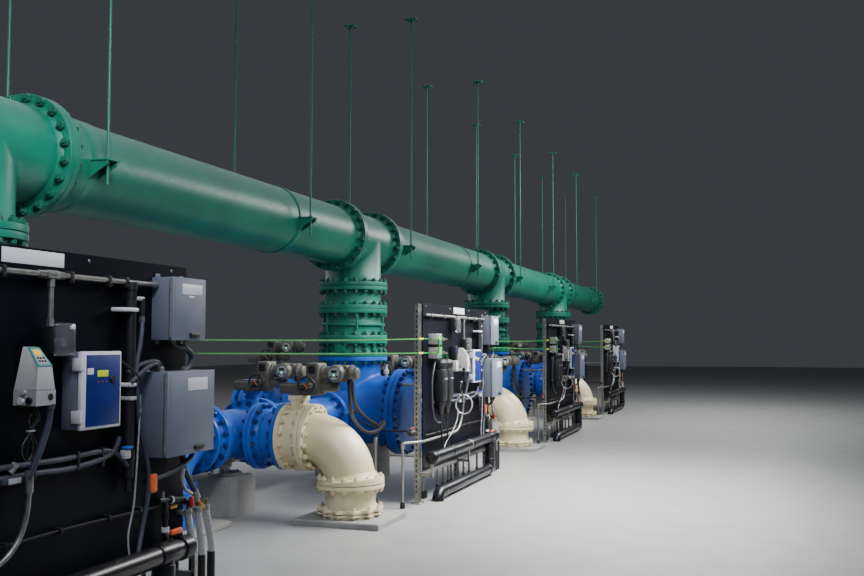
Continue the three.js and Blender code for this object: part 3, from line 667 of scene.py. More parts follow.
def joint_bolts(size, axis, along, at, way=0):
    """The studs of one joint: six-sided, as long as the two flanges, their nuts and a short end. With
    way 1 or -1 only the half on that side of the joint is made."""
    half = size["thick"]
    nut_r, high, stud_r = size["nut"], size["high"], size["nut"] * 0.52
    one = [(half, stud_r), (half - 0.004, nut_r * 0.98), (half + high - 0.003, nut_r),
           (half + high, nut_r * 0.93), (half + high, stud_r), (half + high + 0.014, stud_r),
           (half + high + 0.016, stud_r * 0.9)]
    profile = [(-a, b) for a, b in one[::-1]] + one
    if way:
        profile = [(way * a, b) for a, b in [(0.0, stud_r)] + one]
    # The stud is made on the circle, then copied round the axis.
    on_circle = AXES[axis][0] * along + AXES[axis][1] * size["circle"]
    return circled(turned(profile, axis, on_circle, 6, 0.0), size["bolts"], axis, at)


# The line's enamel over zinc-plated nuts: thicker at the corners, and a darker green than the pipe's
# throughout.
painted_green_nuts = finish_of("sea_green_enamel_on_nuts", "#084A3A", "#0E6350", 0.006, (0.26, 0.42),
                               bump=0.0004, dust=0.15, patch=0.05)
header_axis = (0, 0, HEADER_Z)
green_joints = [("x", x, header_axis) for x in (-reach24 - GAP, reach24 + GAP)]
green_joints += [("z", z, (0, 0, 0)) for z in (DROP_TOP, DROP_PAIR, DROP_JOINT, BLUE_TOP)]
for bay in range(BAYS):
    bolts = [(joint_bolts(PIPE24, axis, along, at), 0) for axis, along, at in green_joints]
    if bay == BAYS - 1:
        bolts.append((joint_bolts(PIPE24, "x", BAY - reach24 - GAP, header_axis), 0))
    piece(f"green_joint_bolts_{bay + 1}", moved(bolts, x=bay * BAY), [painted_green_nuts])


# Effluent tees
# Thirty inch ductile iron tees across the gallery, in blue: a neck up to the drop leg, a 16 inch
# outlet to the effluent line, a dished blind to the aisle, and a reducer, a 20 inch valve and a stub
# into the wall.

# Sprayed alkyd enamel like the header's: strong blue, gloss, with a pebbled cast skin under it.
blue_enamel = finish_of("deep_blue_enamel_on_cast_iron", "#1243A0", "#2060C4", 0.016, (0.34, 0.46),
                        bump=0.00014, coat=0.05, dust=0.15, specular=0.35)
BLUE_Z = 0.760
WALL_VALVE, WALL_VALVE_END = 1.090, 1.310    # its two faces
WALL_Y = 1.450
WALL_NECK_TOP = 1.266
PIPE20 = {"r": 0.274, "rim": 0.349, "thick": 0.0429, "reach": 0.457, "circle": 0.3175, "bolts": 20,
          "nut": 0.0254, "high": 0.027}
LINE_Y = 0.120
LINE_Z = 0.715
face30, thick30, rim30, r30 = PIPE30["reach"], PIPE30["thick"], PIPE30["rim"], PIPE30["r"]
blind_dish = [(-face30 - thick30 - 0.024, 0.10), (-face30 - thick30 - 0.022, 0.300),
              (-face30 - thick30 - 0.004, 0.372), (-face30 - thick30, 0.392),
              (-face30 - thick30, rim30), (-face30 - 0.003, rim30), (-face30 - 0.003, rim30 - 0.060),
              (-face30 - 0.0005, rim30 - 0.060)]
reducer = flange(face30 + 2 * GAP, 1, PIPE30) + [(face30 + 0.13, r30), (0.985, PIPE20["r"])]
reducer += flange(WALL_VALVE, -1, PIPE20)[::-1]
# Which way the two branches and their runs point: along the run, across it, and out of it.
across = [[0, 1, 0], [-1, 0, 0], [0, 0, 1]]
outwards = [[0, 1, 0], [0, 0, -1], [-1, 0, 0]]
blue_axis = (0, 0, BLUE_Z)
blue_parts = [(turned(profile, "y", blue_axis, 84), 0) for profile in (
    flanged(-face30, face30, PIPE30), blind_dish, reducer,
    valve_body(WALL_VALVE + 2 * GAP, WALL_VALVE_END, PIPE20, 0.310),
    flanged(WALL_VALVE_END + 2 * GAP, WALL_Y, PIPE20))]
blue_parts += [
    (branch(r30, PIPE24, across, blue_axis, face30, 0.05), 0),
    (branch(r30, PIPE16, outwards, blue_axis, 0.560, 0.035, (LINE_Y, BLUE_Z - LINE_Z), 64), 0)]
wall_valve_y = (WALL_VALVE + WALL_VALVE_END) / 2
blue_parts.append((turned([(BLUE_Z + 0.25, 0.090), (BLUE_Z + 0.32, 0.070), (WALL_NECK_TOP - 0.018, 0.070),
                           (WALL_NECK_TOP - 0.018, 0.090), (WALL_NECK_TOP, 0.090)], "z",
                          (0, wall_valve_y, 0), 28), 0))
DRIVE_X = -0.107    # an actuator stands beside the neck that it turns
wall_drive = gear_unit(0, wall_valve_y, WALL_NECK_TOP, WALL_NECK_TOP + 0.140)
wall_drive += drive_with_wheel(DRIVE_X, wall_valve_y, WALL_NECK_TOP + 0.237)
in_each_bay("effluent_tee_casting", blue_parts, [blue_enamel], "effluent_tee")
in_each_bay("wall_valve_actuator", wall_drive, DRIVE_FINISHES)


# Tee pedestals
# Cast concrete blocks that carry the blue tees from the floor. A galvanised saddle plate, bent to the
# pipe, lies between the iron and the block.
PEDESTAL = (0.190, 0.398)    # half its width and half its length
SADDLE = (0.192, 0.100)
# Cast from a smooth form and painted grey: chalky, with small voids.
concrete = finish_of("cast_grey_concrete", "#83837F", "#979792", 0.012, (0.75, 0.9), bump=0.0005,
                     dust=0.2, patch=0.25)
# Hot-dip galvanised steel: grey zinc with dull spangles a few centimetres across.
galvanised = finish_of("galvanised_steel", "#8B8B86", "#A2A29C", 0.012, (0.34, 0.5), metallic=0.85,
                       bump=0.0001, dust=0.2, patch=0.03)


def saddle_block(r, half_x, half_y, top_gap, low):
    """A block under a pipe along Y: its top follows z = -sqrt(r2 - x2) under the pipe's axis."""
    x = np.linspace(-half_x, half_x, 25)
    crown = -np.sqrt(np.maximum((r + top_gap)**2 - x**2, 0))
    outline = np.concatenate([np.column_stack([crown, x]), [[low, half_x], [low, -half_x]]])
    rows = np.stack([np.column_stack([np.full(len(outline), y), outline]) for y in (-half_y, half_y)])
    return shell(rows @ AXES["y"])


pedestal = [(saddle_block(r30, *PEDESTAL, 0.004, -BLUE_Z), 0)]
saddle_plate = [(saddle_block(r30, *SADDLE, 0.0, -0.40), 0)]
in_each_bay("tee_pedestal", moved(pedestal, z=BLUE_Z), [concrete])
in_each_bay("tee_saddle", moved(saddle_plate, z=BLUE_Z), [galvanised])


# Effluent lines
# Sixteen inch blue pipe from the tee's outlet: a spool, a butterfly valve with its actuator, a fitting
# with the branch to the aisle, a short ring and an elbow down to a low pad.
VALVE16 = 0.232      # length of a 16 inch valve
WASTE_X = -2.683     # the branch and, at WASTE_Y, the cream elbow's way down
WASTE_Y = -1.136
OUTLET_X = -0.560    # face of the tee's outlet
SPOOL_END = WASTE_Y + PIPE16["reach"] + VALVE16
r16, rim16, thick16, reach16 = PIPE16["r"], PIPE16["rim"], PIPE16["thick"], PIPE16["reach"]
valve_from = WASTE_X + reach16 + VALVE16
valve_to = WASTE_X + reach16
fit_end = WASTE_X - reach16
ring_end = fit_end - 0.190 - thick16
NECK_TOP = 1.088
ABOVE_NECK = 0.202    # from there up to an actuator's origin
GEAR_HEIGHT = 0.096


def bend(size, start, into, out, radius, ends):
    """A quarter bend and its straight ends: stations (distance, radius of the pipe) are carried along
    a line, then a quarter circle, then a line, with circles square to the way at each."""
    start, into, out = (np.array(v, float) for v in (start, into, out))
    before, after = ends
    arc = np.linspace(0, radius * np.pi / 2, 25)
    rows = np.array([(s, r) for s, r in before] + [(s, size["r"]) for s in arc]
                    + [(s + radius * np.pi / 2, r) for s, r in after])
    s, r = rows[:, :1], rows[:, 1:]
    t = np.clip(s / radius, 0, np.pi / 2)
    centre = start + radius * out
    on = centre + radius * (np.sin(t) * into - np.cos(t) * out)
    on = on + np.minimum(s, 0) * into + np.maximum(s - radius * np.pi / 2, 0) * out
    normal = (np.sin(t) * into - np.cos(t) * out)[:, None, :]
    side = np.cross(into, out)[None, None, :]
    a = np.linspace(0, 2 * np.pi, 64, endpoint=False)[None, :, None]
    return shell(on[:, None, :] + r[:, :, None] * (normal * np.cos(a) + side * np.sin(a)))


def end_rings(size):
    """Stations (distance, radius) from a flange's hub to its face, which is at 0."""
    return eased(flange(0, -1, size)[::-1], 0.003).tolist()


line_axis = (0, LINE_Y, LINE_Z)
line_parts = [(turned(profile, "x", line_axis, 64), 0) for profile in (
    flanged(OUTLET_X - 2 * GAP, valve_from + GAP, PIPE16),
    valve_body(valve_to, valve_from, PIPE16, 0.250),
    flanged(valve_to - 2 * GAP, fit_end, PIPE16),
    valve_body(ring_end, fit_end - 2 * GAP, PIPE16, 0.240))]
line_parts.append((branch(r16, PIPE16, [[1, 0, 0], [0, 0, 1], [0, -1, 0]], (WASTE_X, LINE_Y, LINE_Z),
                          reach16, 0.03, sides=64), 0))
branch_end = LINE_Y - reach16
aisle_spool = flanged(branch_end - 2 * GAP, SPOOL_END + GAP, PIPE16)
line_parts.append((turned(aisle_spool, "y", (WASTE_X, 0, LINE_Z), 64), 0))
line_parts.append((bend(PIPE16, (ring_end, LINE_Y, LINE_Z), (-1, 0, 0), (0, 0, -1), reach16,
                        ([(-0.001, rim16 - 0.06)], end_rings(PIPE16))), 0))
# The leg under an elbow: its top flange, and under that its barrel, which both kinds of leg share.
low16 = LINE_Z - reach16
leg_top = [(low16 - thick16 - 0.03, r16), (low16 - thick16, r16 + 0.022), (low16 - thick16, rim16),
           (low16 - 0.003, rim16), (low16 - 0.003, r16 + 0.020), (low16 - 0.0005, r16 + 0.020)]
PAD_TOP = 0.050
leg_x = ring_end - reach16
floor_leg = [(PAD_TOP + GAP, 0.281), (0.090, 0.281), (0.090, r16 + 0.02), (0.110, r16)] + leg_top
line_parts.append((turned(floor_leg, "z", (leg_x, LINE_Y, 0), 64), 0))
line_parts.append((rounded_box((leg_x - 0.44, LINE_Y - 0.40, 0.0), (leg_x + 0.44, LINE_Y + 0.40, PAD_TOP),
                               0.006, 3, "z"), 1))
valve_x = (valve_from + valve_to) / 2
line_parts.append((turned([(LINE_Z + 0.20, 0.080), (LINE_Z + 0.26, 0.062), (NECK_TOP - 0.018, 0.062),
                           (NECK_TOP - 0.018, 0.085), (NECK_TOP, 0.085)], "z", (valve_x, LINE_Y, 0), 28), 0))
line_drive = gear_unit(valve_x, LINE_Y, NECK_TOP, NECK_TOP + GEAR_HEIGHT)
line_drive += drive_with_wheel(valve_x + DRIVE_X, LINE_Y, NECK_TOP + ABOVE_NECK)
in_each_bay("effluent_line_pipe", line_parts, [blue_enamel, concrete], "effluent_line")
in_each_bay("line_valve_actuator", line_drive, DRIVE_FINISHES)

# The bolts of the blue joints, painted over like the green ones.
painted_blue_nuts = finish_of("blue_enamel_on_nuts", "#082264", "#0F327E", 0.006, (0.26, 0.42),
                              bump=0.0004, dust=0.15, patch=0.05)
blue_joints = [(PIPE30, "y", y, blue_axis) for y in (-face30, face30)]
blue_joints += [(PIPE20, "y", y, blue_axis) for y in (WALL_VALVE, WALL_VALVE_END)]
blue_joints += [(PIPE16, "x", x, line_axis) for x in (OUTLET_X, valve_from, valve_to, fit_end, ring_end)]
blue_joints += [(PIPE16, "y", branch_end, (WASTE_X, 0, LINE_Z)),
                (PIPE16, "z", low16, (leg_x, LINE_Y, 0)),
                (PIPE16, "y", SPOOL_END, (WASTE_X, 0, LINE_Z), 1)]
in_each_bay("blue_joint_bolts", [(joint_bolts(*joint), 0) for joint in blue_joints], [painted_blue_nuts])


# Line piers
# Chamfered concrete blocks under the effluent line's fitting, with a threaded pipe stand on top: a foot
# plate with four nuts, a collar, a hexagon nut to set the height, and a saddle under the pipe.
PIER_TOP = 0.350
saddle = saddle_block(r16, 0.12, 0.075, 0.0, -0.245)
# The block is made for a pipe along Y, so x and y change places, which turns its faces round.
along_x = (saddle[0] @ np.array([[0, 1, 0], [1, 0, 0], [0, 0, 1]]), [face[::-1] for face in saddle[1]])
stand = [
    (turned([(PIER_TOP + GAP, 0.150), (0.374, 0.150), (0.374, 0.050), (0.44, 0.050)], "z", sides=36), 0),
    (turned([(0.42, 0.066), (0.45, 0.066), (0.45, 0.040), (0.50, 0.040)], "z", sides=6, radius=0.001), 0),
    (circled(nut("z", (0.120, 0, 0.374), 0.014, 0.013), 4), 0)] + moved([(along_x, 0)], z=LINE_Z)
in_each_bay("pier_stand", moved(stand, WASTE_X, LINE_Y), [galvanised])


# Waste valves
# Cream 16 inch butterfly valves on the branch: ductile iron castings, bolted between two flanges, with
# a ribbed neck up to the gear unit.

# Brushed and sprayed enamel: warm cream, a clear gloss over a cast skin, browned where dust settles.
cream = finish_of("cream_enamel_on_cast_iron", "#D6C99F", "#E0D5B0", 0.014, (0.30, 0.42), bump=0.00020,
                  coat=0.12, dust=0.12, soil="#A09474")
waste_middle = (WASTE_Y + reach16 + SPOOL_END) / 2
waste_body = valve_body(WASTE_Y + reach16 + GAP, SPOOL_END - GAP, PIPE16, 0.250)
waste_valve_parts = [
    (turned(waste_body, "y", (WASTE_X, 0, LINE_Z), 64), 0),
    (turned([(LINE_Z + 0.20, 0.095), (LINE_Z + 0.25, 0.068), (NECK_TOP - 0.020, 0.062)], "z",
            (WASTE_X, waste_middle, 0), 32), 0),
    (turned([(LINE_Z - 0.30, 0.040), (LINE_Z - 0.29, 0.052), (LINE_Z - 0.22, 0.058)], "z",
            (WASTE_X, waste_middle, 0), 28), 0),
    (rounded_box((WASTE_X - 0.092, waste_middle - 0.060, NECK_TOP - 0.048),
                 (WASTE_X + 0.092, waste_middle + 0.072, NECK_TOP), 0.008, 3, "z"), 0)]
# The neck's ribs: one across, and one along each side.
waste_valve_parts += [
    (rounded_box((WASTE_X + x - half_x, waste_middle - half_y, LINE_Z + 0.22),
                 (WASTE_X + x + half_x, waste_middle + half_y, NECK_TOP - 0.010), radius, 3, "z"), 0)
    for x, half_x, half_y, radius in ((0.0, 0.082, 0.014, 0.006), (-0.078, 0.010, 0.048, 0.005),
                                      (0.078, 0.010, 0.048, 0.005))]
in_each_bay("waste_valve_body", waste_valve_parts, [cream], "waste_valve")


# Waste actuators and their handwheels
# The same electric actuator over each cream elbow, bolted to the valve's neck. Its black handwheel is
# moulded in one piece, and turns on the gear case's shaft.
drive_at = (WASTE_X + DRIVE_X, waste_middle, NECK_TOP + ABOVE_NECK)
waste_drive = gear_unit(WASTE_X, waste_middle, NECK_TOP + GAP, NECK_TOP + GEAR_HEIGHT)
waste_drive += actuator_parts(*drive_at)
in_each_bay("waste_actuator_drive", waste_drive, ACTUATOR_FINISHES, "waste_actuator")
wheel_parts = handwheel_parts(drive_at[0] + WHEEL_X, drive_at[1] + WHEEL_Y, drive_at[2] + WHEEL_Z)
for bay in range(BAYS):
    wheel = piece(f"waste_handwheel_rim_{bay + 1}", moved(wheel_parts, x=bay * BAY), DRIVE_FINISHES,
                  body=f"handwheel_{bay + 1}")
    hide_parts(f"waste_handwheel_{bay + 1}")


# Waste elbows
# Cream long-radius elbows down to a short flanged spool, held in a socket on the pad by a scalloped
# gland ring with a T-head bolt at each lobe.
LOBES = 12
# The face's stations stop short of the hub's foot, 40 mm in, because the bend begins there.
face_rings = [row for row in eased(flange(GAP, 1, PIPE16), 0.003).tolist() if row[0] < 0.04]
floor_spool = [(PAD_TOP + GAP, 0.245), (PAD_TOP + 0.02, 0.245), (PAD_TOP + 0.03, 0.236), (0.100, 0.236),
               (0.128, r16 + 0.004), (0.150, r16)] + leg_top
elbow_parts = [(bend(PIPE16, (WASTE_X, WASTE_Y + reach16, LINE_Z), (0, -1, 0), (0, 0, -1), reach16,
                     (face_rings, end_rings(PIPE16))), 0),
               (turned(floor_spool, "z", (WASTE_X, WASTE_Y, 0), 64), 0)]


def scalloped_ring(inner, outer, low, high):
    """A gland ring whose edge swells to each bolt: at angle a its radius is inner + (outer - inner) times
    ((1 + cos 12a) / 2) to the 0.8."""
    a = np.linspace(0, 2 * np.pi, 144, endpoint=False)
    wave = ((1 + np.cos(LOBES * a)) / 2) ** 0.8
    edge = inner + (outer - inner) * wave
    rows = [(low, edge - 0.004), (low + 0.004, edge), (high - 0.004, edge), (high, edge - 0.004)]
    return shell(np.stack([np.column_stack([radius * np.cos(a), radius * np.sin(a),
                                            np.full(len(a), z)]) for z, radius in rows]))


elbow_parts += moved([(scalloped_ring(0.248, 0.290, 0.098, 0.128), 0),
                      (scalloped_ring(0.246, 0.288, 0.070, 0.084), 0)], WASTE_X, WASTE_Y, 0)
gland_bolt = turned([(PAD_TOP + 0.001, 0.009), (PAD_TOP + 0.012, 0.013), (0.068, 0.013), (0.068, 0.008),
                     (0.126, 0.008), (0.126, 0.0175), (0.143, 0.0175), (0.145, 0.015), (0.145, 0.0085),
                     (0.156, 0.0085)], "z", (0.268, 0, 0), 6, 0.0)
elbow_parts.append((circled(gland_bolt, LOBES, "z", (WASTE_X, WASTE_Y, 0), 0.0), 0))
in_each_bay("waste_elbow_casting", elbow_parts, [cream], "waste_elbow")

# The bolts of the cream joints, brushed over in cream.
painted_cream_nuts = finish_of("cream_enamel_on_nuts", "#C6B98F", "#DED4B2", 0.006, (0.3, 0.5),
                               bump=0.0003, dust=0.2, soil="#8A7A58", patch=0.04)
cream_joints = [(PIPE16, "y", WASTE_Y + reach16, (WASTE_X, 0, LINE_Z)),
                (PIPE16, "y", SPOOL_END, (WASTE_X, 0, LINE_Z), -1),
                (PIPE16, "z", low16, (WASTE_X, WASTE_Y, 0))]
in_each_bay("cream_joint_bolts", [(joint_bolts(*joint), 0) for joint in cream_joints],
            [painted_cream_nuts])


# Pads and piers
# Low pads under the cream elbows and piers under the effluent lines, cast in concrete with a
# steel-trowelled top and a small chamfer. Their shapes are the part's own solids.
for bay in range(BAYS):
    for name in (f"waste_pad_{bay + 1}", f"pipe_pier_{bay + 1}"):
        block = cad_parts[name]
        block.data.materials.clear()
        block.data.materials.append(concrete)


# Analyser boards
# A near-black sheet 12 mm thick with two grey wall boxes, two readout instruments, a sample switch box
# and turbidity meters bolted to its aisle face. Places along it are measured from its far end, and
# heights are those of the first board, which hangs 38 mm above the others.
FRONT = -1.427
BOARD_LENGTH = 2.440
BOARD_LOW, BOARD_HIGH = 0.351, 1.988
FAR_ENDS = [0.267] + [0.867 + bay * BAY for bay in range(1, BAYS)]
LOWERED = [0.0] + [-0.038] * (BAYS - 1)
# Laminate sheet: almost black with a little blue, satin, with dust along its top edge.
board_sheet = finish_of("near_black_laminate_sheet", "#06070E", "#0A0C17", 0.010, (0.42, 0.55),
                        bump=0.00005, dust=0.12, patch=0.6, specular=0.12)
# Powder-coated steel: an even blue-grey with a fine orange-peel skin.
box_grey = finish_of("grey_powder_coated_steel", "#59606E", "#636B79", 0.004, (0.42, 0.54),
                     bump=0.00006, dust=0.2, patch=0.3)
# Engraved laminate and white plastic: flat white, a little shine.
label_white = finish_of("white_engraved_label", "#C9CACC", "#D4D5D7", 0.004, (0.3, 0.42), bump=0.00002)
# Printed polyester film over the keys: deep navy or teal, smooth.
blue_front = finish_of("navy_printed_film", "#122464", "#162A70", 0.003, (0.3, 0.4), bump=0.00003,
                       patch=0.1, specular=0.25)
teal_front = finish_of("teal_printed_film", "#1F7F7C", "#258A88", 0.003, (0.3, 0.42), bump=0.00003)
# Moulded ABS: warm pale grey with a fine matt grain.
beige_case = finish_of("pale_polymer_case", "#A3A29E", "#AFAEAA", 0.003, (0.42, 0.55), bump=0.00012,
                       dust=0.2, patch=0.1)
# Back-lit liquid crystal: a dim even glow.
lime_display = lit_finish("lime_display", "#A2B81E", 0.5)
amber_display = lit_finish("amber_display", "#D8B23C", 0.5)
# Blown polycarbonate: see-through, with sharp highlights on its edges.
clear_cover = finish_of("clear_polycarbonate_cover", "#C8CCD2", "#D6DADF", 0.02, (0.04, 0.08),
                        bump=0.0003, patch=0.03, clear=0.9)
# Vinyl dipped on steel levers: strong colour with a soft shine.
red_lever = finish_of("red_vinyl_lever", "#8E1A18", "#A02220", 0.004, (0.35, 0.5), bump=0.0001)
blue_lever = finish_of("blue_vinyl_lever", "#1A4CB0", "#2158C0", 0.004, (0.35, 0.5), bump=0.0001)
# Machined brass: dull gold, darkened by handling.
brass = finish_of("brass_fittings", "#A98742", "#BA9A55", 0.004, (0.25, 0.4), metallic=1.0,
                  bump=0.0001, dust=0.15, patch=0.03)
# PVC jacket over a steel spiral: dark blue-grey, satin.
grey_flex = finish_of("blue_grey_flexible_conduit", "#30343F", "#3A3F4B", 0.004, (0.42, 0.55),
                      bump=0.0003, dust=0.15, patch=0.1)
# Braided vinyl hose: milky, half clear, glossy.
clear_tube = finish_of("clear_braided_vinyl_hose", "#A9ABA9", "#BDBEBA", 0.003, (0.14, 0.24),
                       bump=0.0004, coat=0.3, patch=0.02, clear=0.35)
# Extruded polyethylene: bright green and waxy.
green_tube = finish_of("green_polyethylene_tubing", "#1C6E27", "#237C2E", 0.004, (0.4, 0.5),
                       bump=0.00005, patch=0.1, specular=0.15)
# Printed vinyl tags: flat yellow.
yellow_tag = finish_of("yellow_marker_tag", "#C9B41E", "#D4BE2A", 0.004, (0.4, 0.5), bump=0.00002)
# Each part of a board has one of these numbers, its finish's place in the list below.
(SHEET, GREY_BOX, ZINC, DARK, WHITE, NAVY, TEAL, BEIGE, LIME, AMBER, CLEAR, RED, BLUE, BRASS, FLEX,
 VINYL, GREEN_PE, YELLOW, ORANGE) = range(19)
BOARD_FINISHES = [board_sheet, box_grey, galvanised, black_polyamide, label_white, blue_front, teal_front,
                  beige_case, lime_display, amber_display, clear_cover, red_lever, blue_lever, brass,
                  grey_flex, clear_tube, green_tube, yellow_tag, orange_mark]


def on_board(x, z, deep, material, radius=4, start=0, axis="y"):
    """A rounded box on the board's face, from start to deep in front of it, with its material. It and
    the next two take millimetres."""
    low, high = np.array([(x[0], -deep, z[0]), (x[1], -start, z[1])]) / 1000 + [0, FRONT, 0]
    return rounded_box(low, high, radius / 1000, 3, axis), material


def before_board(points):
    """Places given as (along, in front of the board, up), in metres."""
    p = np.array(points, float) / 1000
    return np.column_stack([p[:, 0], FRONT - p[:, 1], p[:, 2]])


def hose(points, radius, material, sides=10, steps=6):
    """A bent tube through places given as (along, in front of the board, up)."""
    return shell(tube_rings(smooth_route(before_board(points), steps), radius / 1000, sides)), material


def straight(a, b, radius, material, sides=14):
    """A straight tube between two such places."""
    return shell(tube_rings(before_board([a, b]), radius / 1000, sides)), material


def sheet_outline(left, right, low, high, r):
    """A rounded rectangle as (up, along) pairs: each corner's centre plus r (cos t, sin t)."""
    corners = ((high - r, right - r), (low + r, right - r), (low + r, left + r), (high - r, left + r))
    t = np.linspace(0, np.pi / 2, 7)
    return np.vstack([np.column_stack([up + r * np.cos(t + quarter * np.pi / 2),
                                       along + r * np.sin(t + quarter * np.pi / 2)])
                      for quarter, (up, along) in enumerate(corners)])


def wall_box(x, z, deep, labels, latch):
    """A hinged steel box: case, lid with a turned edge, piano hinge, mounting tabs, labels and latch."""
    left, right = x
    low, high = z
    parts = [on_board(x, z, deep - 14, GREY_BOX, 4),
             on_board((left - 2, right + 2), (low - 2, high + 2), deep, GREY_BOX, 4, deep - 12),
             straight((left - 3, deep - 10, low + 12), (left - 3, deep - 10, high - 12), 6.5, ZINC, 10),
             on_board((left + 28, right - 28), (low + 28, high - 28), deep + 1.2, GREY_BOX, 1, deep - 1),
             on_board((latch[0] - 45, latch[0] + 45), (latch[1] - 13, latch[1] + 13),
                      deep + 12, DARK, 4, deep)]
    for tab_x in (left + 30, right - 70):
        parts.append(on_board((tab_x, tab_x + 40), (low - 22, high + 22), 4, GREY_BOX, 1))
        for tab_z in (low - 12, high + 12):
            parts.append((nut("y", ((tab_x + 20) / 1000, FRONT - 0.009, tab_z / 1000), 0.007, 0.006), ZINC))
    for label_x, label_z in labels:
        parts.append(on_board(label_x, label_z, deep + 3, WHITE, 0.8, deep))
    return parts


def slanted_readout(left, right, deep):
    """A pale readout: a base band, an upper case that slopes back, its keypad, display and glands. Above
    the band it narrows: x moves to the middle by 0.45 (z - 1.35) / 0.19 of its distance."""
    middle = (left + right) / 2
    rise, run = 0.088, deep - 0.055
    slope = math.atan2(rise, run)
    cos, sin = math.cos(slope), math.sin(slope)
    turn = np.array([[1, 0, 0], [0, cos, -sin], [0, sin, cos]])
    foot = np.array([0, FRONT - deep + 0.008, 1.450])
    long = math.hypot(rise, run)
    case = [(FRONT, 1.352), (FRONT - deep + 0.002, 1.352), (FRONT - deep + 0.008, 1.450),
            (FRONT - 0.047, 1.538), (FRONT - 0.020, 1.540)]
    upper = [(plate(case, "x", left + 0.003, right - 0.003), BEIGE)]
    # Each plate is laid flat, then turned up the slope.
    flats = [((left + 0.001, right - 0.001), (0.002, long - 0.002), 0.004, TEAL),
             ((left + 0.014, right - 0.014), (0.012, long - 0.012), 0.0055, BEIGE),
             ((left + 0.026, right - 0.026), (0.062, 0.096), 0.0065, AMBER)]
    flats += [((middle - 0.036 + column * 0.026, middle - 0.020 + column * 0.026),
               (0.024 + row * 0.018, 0.035 + row * 0.018), 0.0075, DARK)
              for row in range(2) for column in range(3)]
    for (x0, x1), (v0, v1), proud, material in flats:
        flat = rounded_box((x0, v0, 0.0), (x1, v1, proud), 0.001, 2, "z")
        upper.append(((flat[0] @ turn.T + foot, flat[1]), material))
    parts = [(plate([(FRONT, 1.282), (FRONT - deep, 1.282), (FRONT - deep, 1.350), (FRONT, 1.350)], "x",
                    left, right), BEIGE)]
    for (points, polygons), material in upper:
        narrowed = points.copy()
        narrowed[:, 0] = middle + (points[:, 0] - middle) * (1 - 0.45 * (points[:, 2] - 1.35) / 0.19)
        parts.append(((narrowed, polygons), material))
    for x, y, r, material in ((left + 0.050, 0.070, 0.012, DARK), (right - 0.016, 0.105, 0.017, FLEX)):
        parts.append((turned([(-0.034, r), (-0.018, r), (-0.018, r * 1.3), (0.004, r * 1.3)], "z",
                             (x, FRONT - y, 1.282), 12, 0.0), material))
    for y, z, r, material in ((0.045, 1.302, 0.014, WHITE), (0.060, 1.340, 0.009, BEIGE),
                              (0.090, 1.305, 0.014, DARK)):
        parts.append((turned([(left - 0.012, r), (left - 0.010, r + 0.002), (left + 0.002, r + 0.002)], "x",
                             (0, FRONT - y, z), 16, 0.0), material))
    parts.append((turned([(-0.003, 0.015), (0.001, 0.017), (0.004, 0.017)], "y",
                         (right - 0.034, FRONT - deep, 1.318), 16, 0.0), DARK))
    return parts


def film_readout(left, right, deep):
    """The blue-faced instrument: grey case, white bezel, navy film, display, oval lock, hinge clips."""
    low, high = 1150, 1514
    parts = [on_board((left, right), (low, high), deep - 30, GREY_BOX, 6),
             on_board((left - 3, right + 3), (low - 3, high + 3), deep, WHITE, 8, deep - 24),
             on_board((left + 30, right - 12), (low + 12, high - 14), deep + 2.2, NAVY, 1, deep - 2),
             on_board((left + 108, right - 105), (1396, 1426), deep + 4, LIME, 1, deep),
             on_board((left + 36, left + 80), (1408, 1438), deep + 3.5, WHITE, 1, deep),
             (turned([(-0.010, 0.016), (-0.004, 0.019), (0.001, 0.019)], "y",
                     ((right - 72) / 1000, FRONT - deep / 1000, 1.382), 20, 0.0), DARK)]
    for z in (1455, 1210):
        parts.append(on_board((left - 10, left + 16), (z - 30, z + 30), deep + 2, WHITE, 3, deep - 52))
    for i in range(3):
        parts.append(on_board((left + 110 + i * 30, left + 122 + i * 30), (1368, 1374),
                              deep + 4, RED, 1, deep))
    return parts


def turbidity_meter(x):
    """A turbidity meter: a black body with a domed head, a drain cone below and a bubble trap."""
    parts = [on_board((x - 75, x + 75), (960, 1300), 125, DARK, 30, 4, "z"),
             on_board((x - 60, x + 60), (940, 1340), 20, ZINC, 4),
             on_board((x - 50, x + 50), (1180, 1200), 128, GREY_BOX, 2, 120)]
    for profile in ([(1.300, 0.062), (1.308, 0.070), (1.350, 0.070), (1.378, 0.058), (1.390, 0.030)],
                    [(0.822, 0.020), (0.860, 0.024), (0.930, 0.052), (0.960, 0.056)]):
        parts.append((turned(profile, "z", (x / 1000, FRONT - 0.064, 0), 28), DARK))
    parts.append((turned([(0.880, 0.012), (0.900, 0.016), (1.200, 0.016), (1.215, 0.010)], "z",
                         ((x + 105) / 1000, FRONT - 0.050, 0), 18), VINYL))
    return parts


def small_box(x, z, deep):
    """A small transmitter: a pale case with a teal front, a display and a row of keys."""
    parts = [on_board(x, z, deep, BEIGE, 8),
             on_board((x[0] + 8, x[1] - 8), (z[0] + 8, z[1] - 8), deep + 2, TEAL, 1, deep - 2),
             on_board((x[0] + 20, x[0] + 75), (z[0] + 40, z[1] - 20), deep + 3.5, LIME, 1, deep)]
    for i in range(4):
        parts.append(on_board((x[0] + 85 + i * 14, x[0] + 94 + i * 14), (z[0] + 22, z[0] + 34),
                              deep + 4, DARK, 1, deep))
    return parts


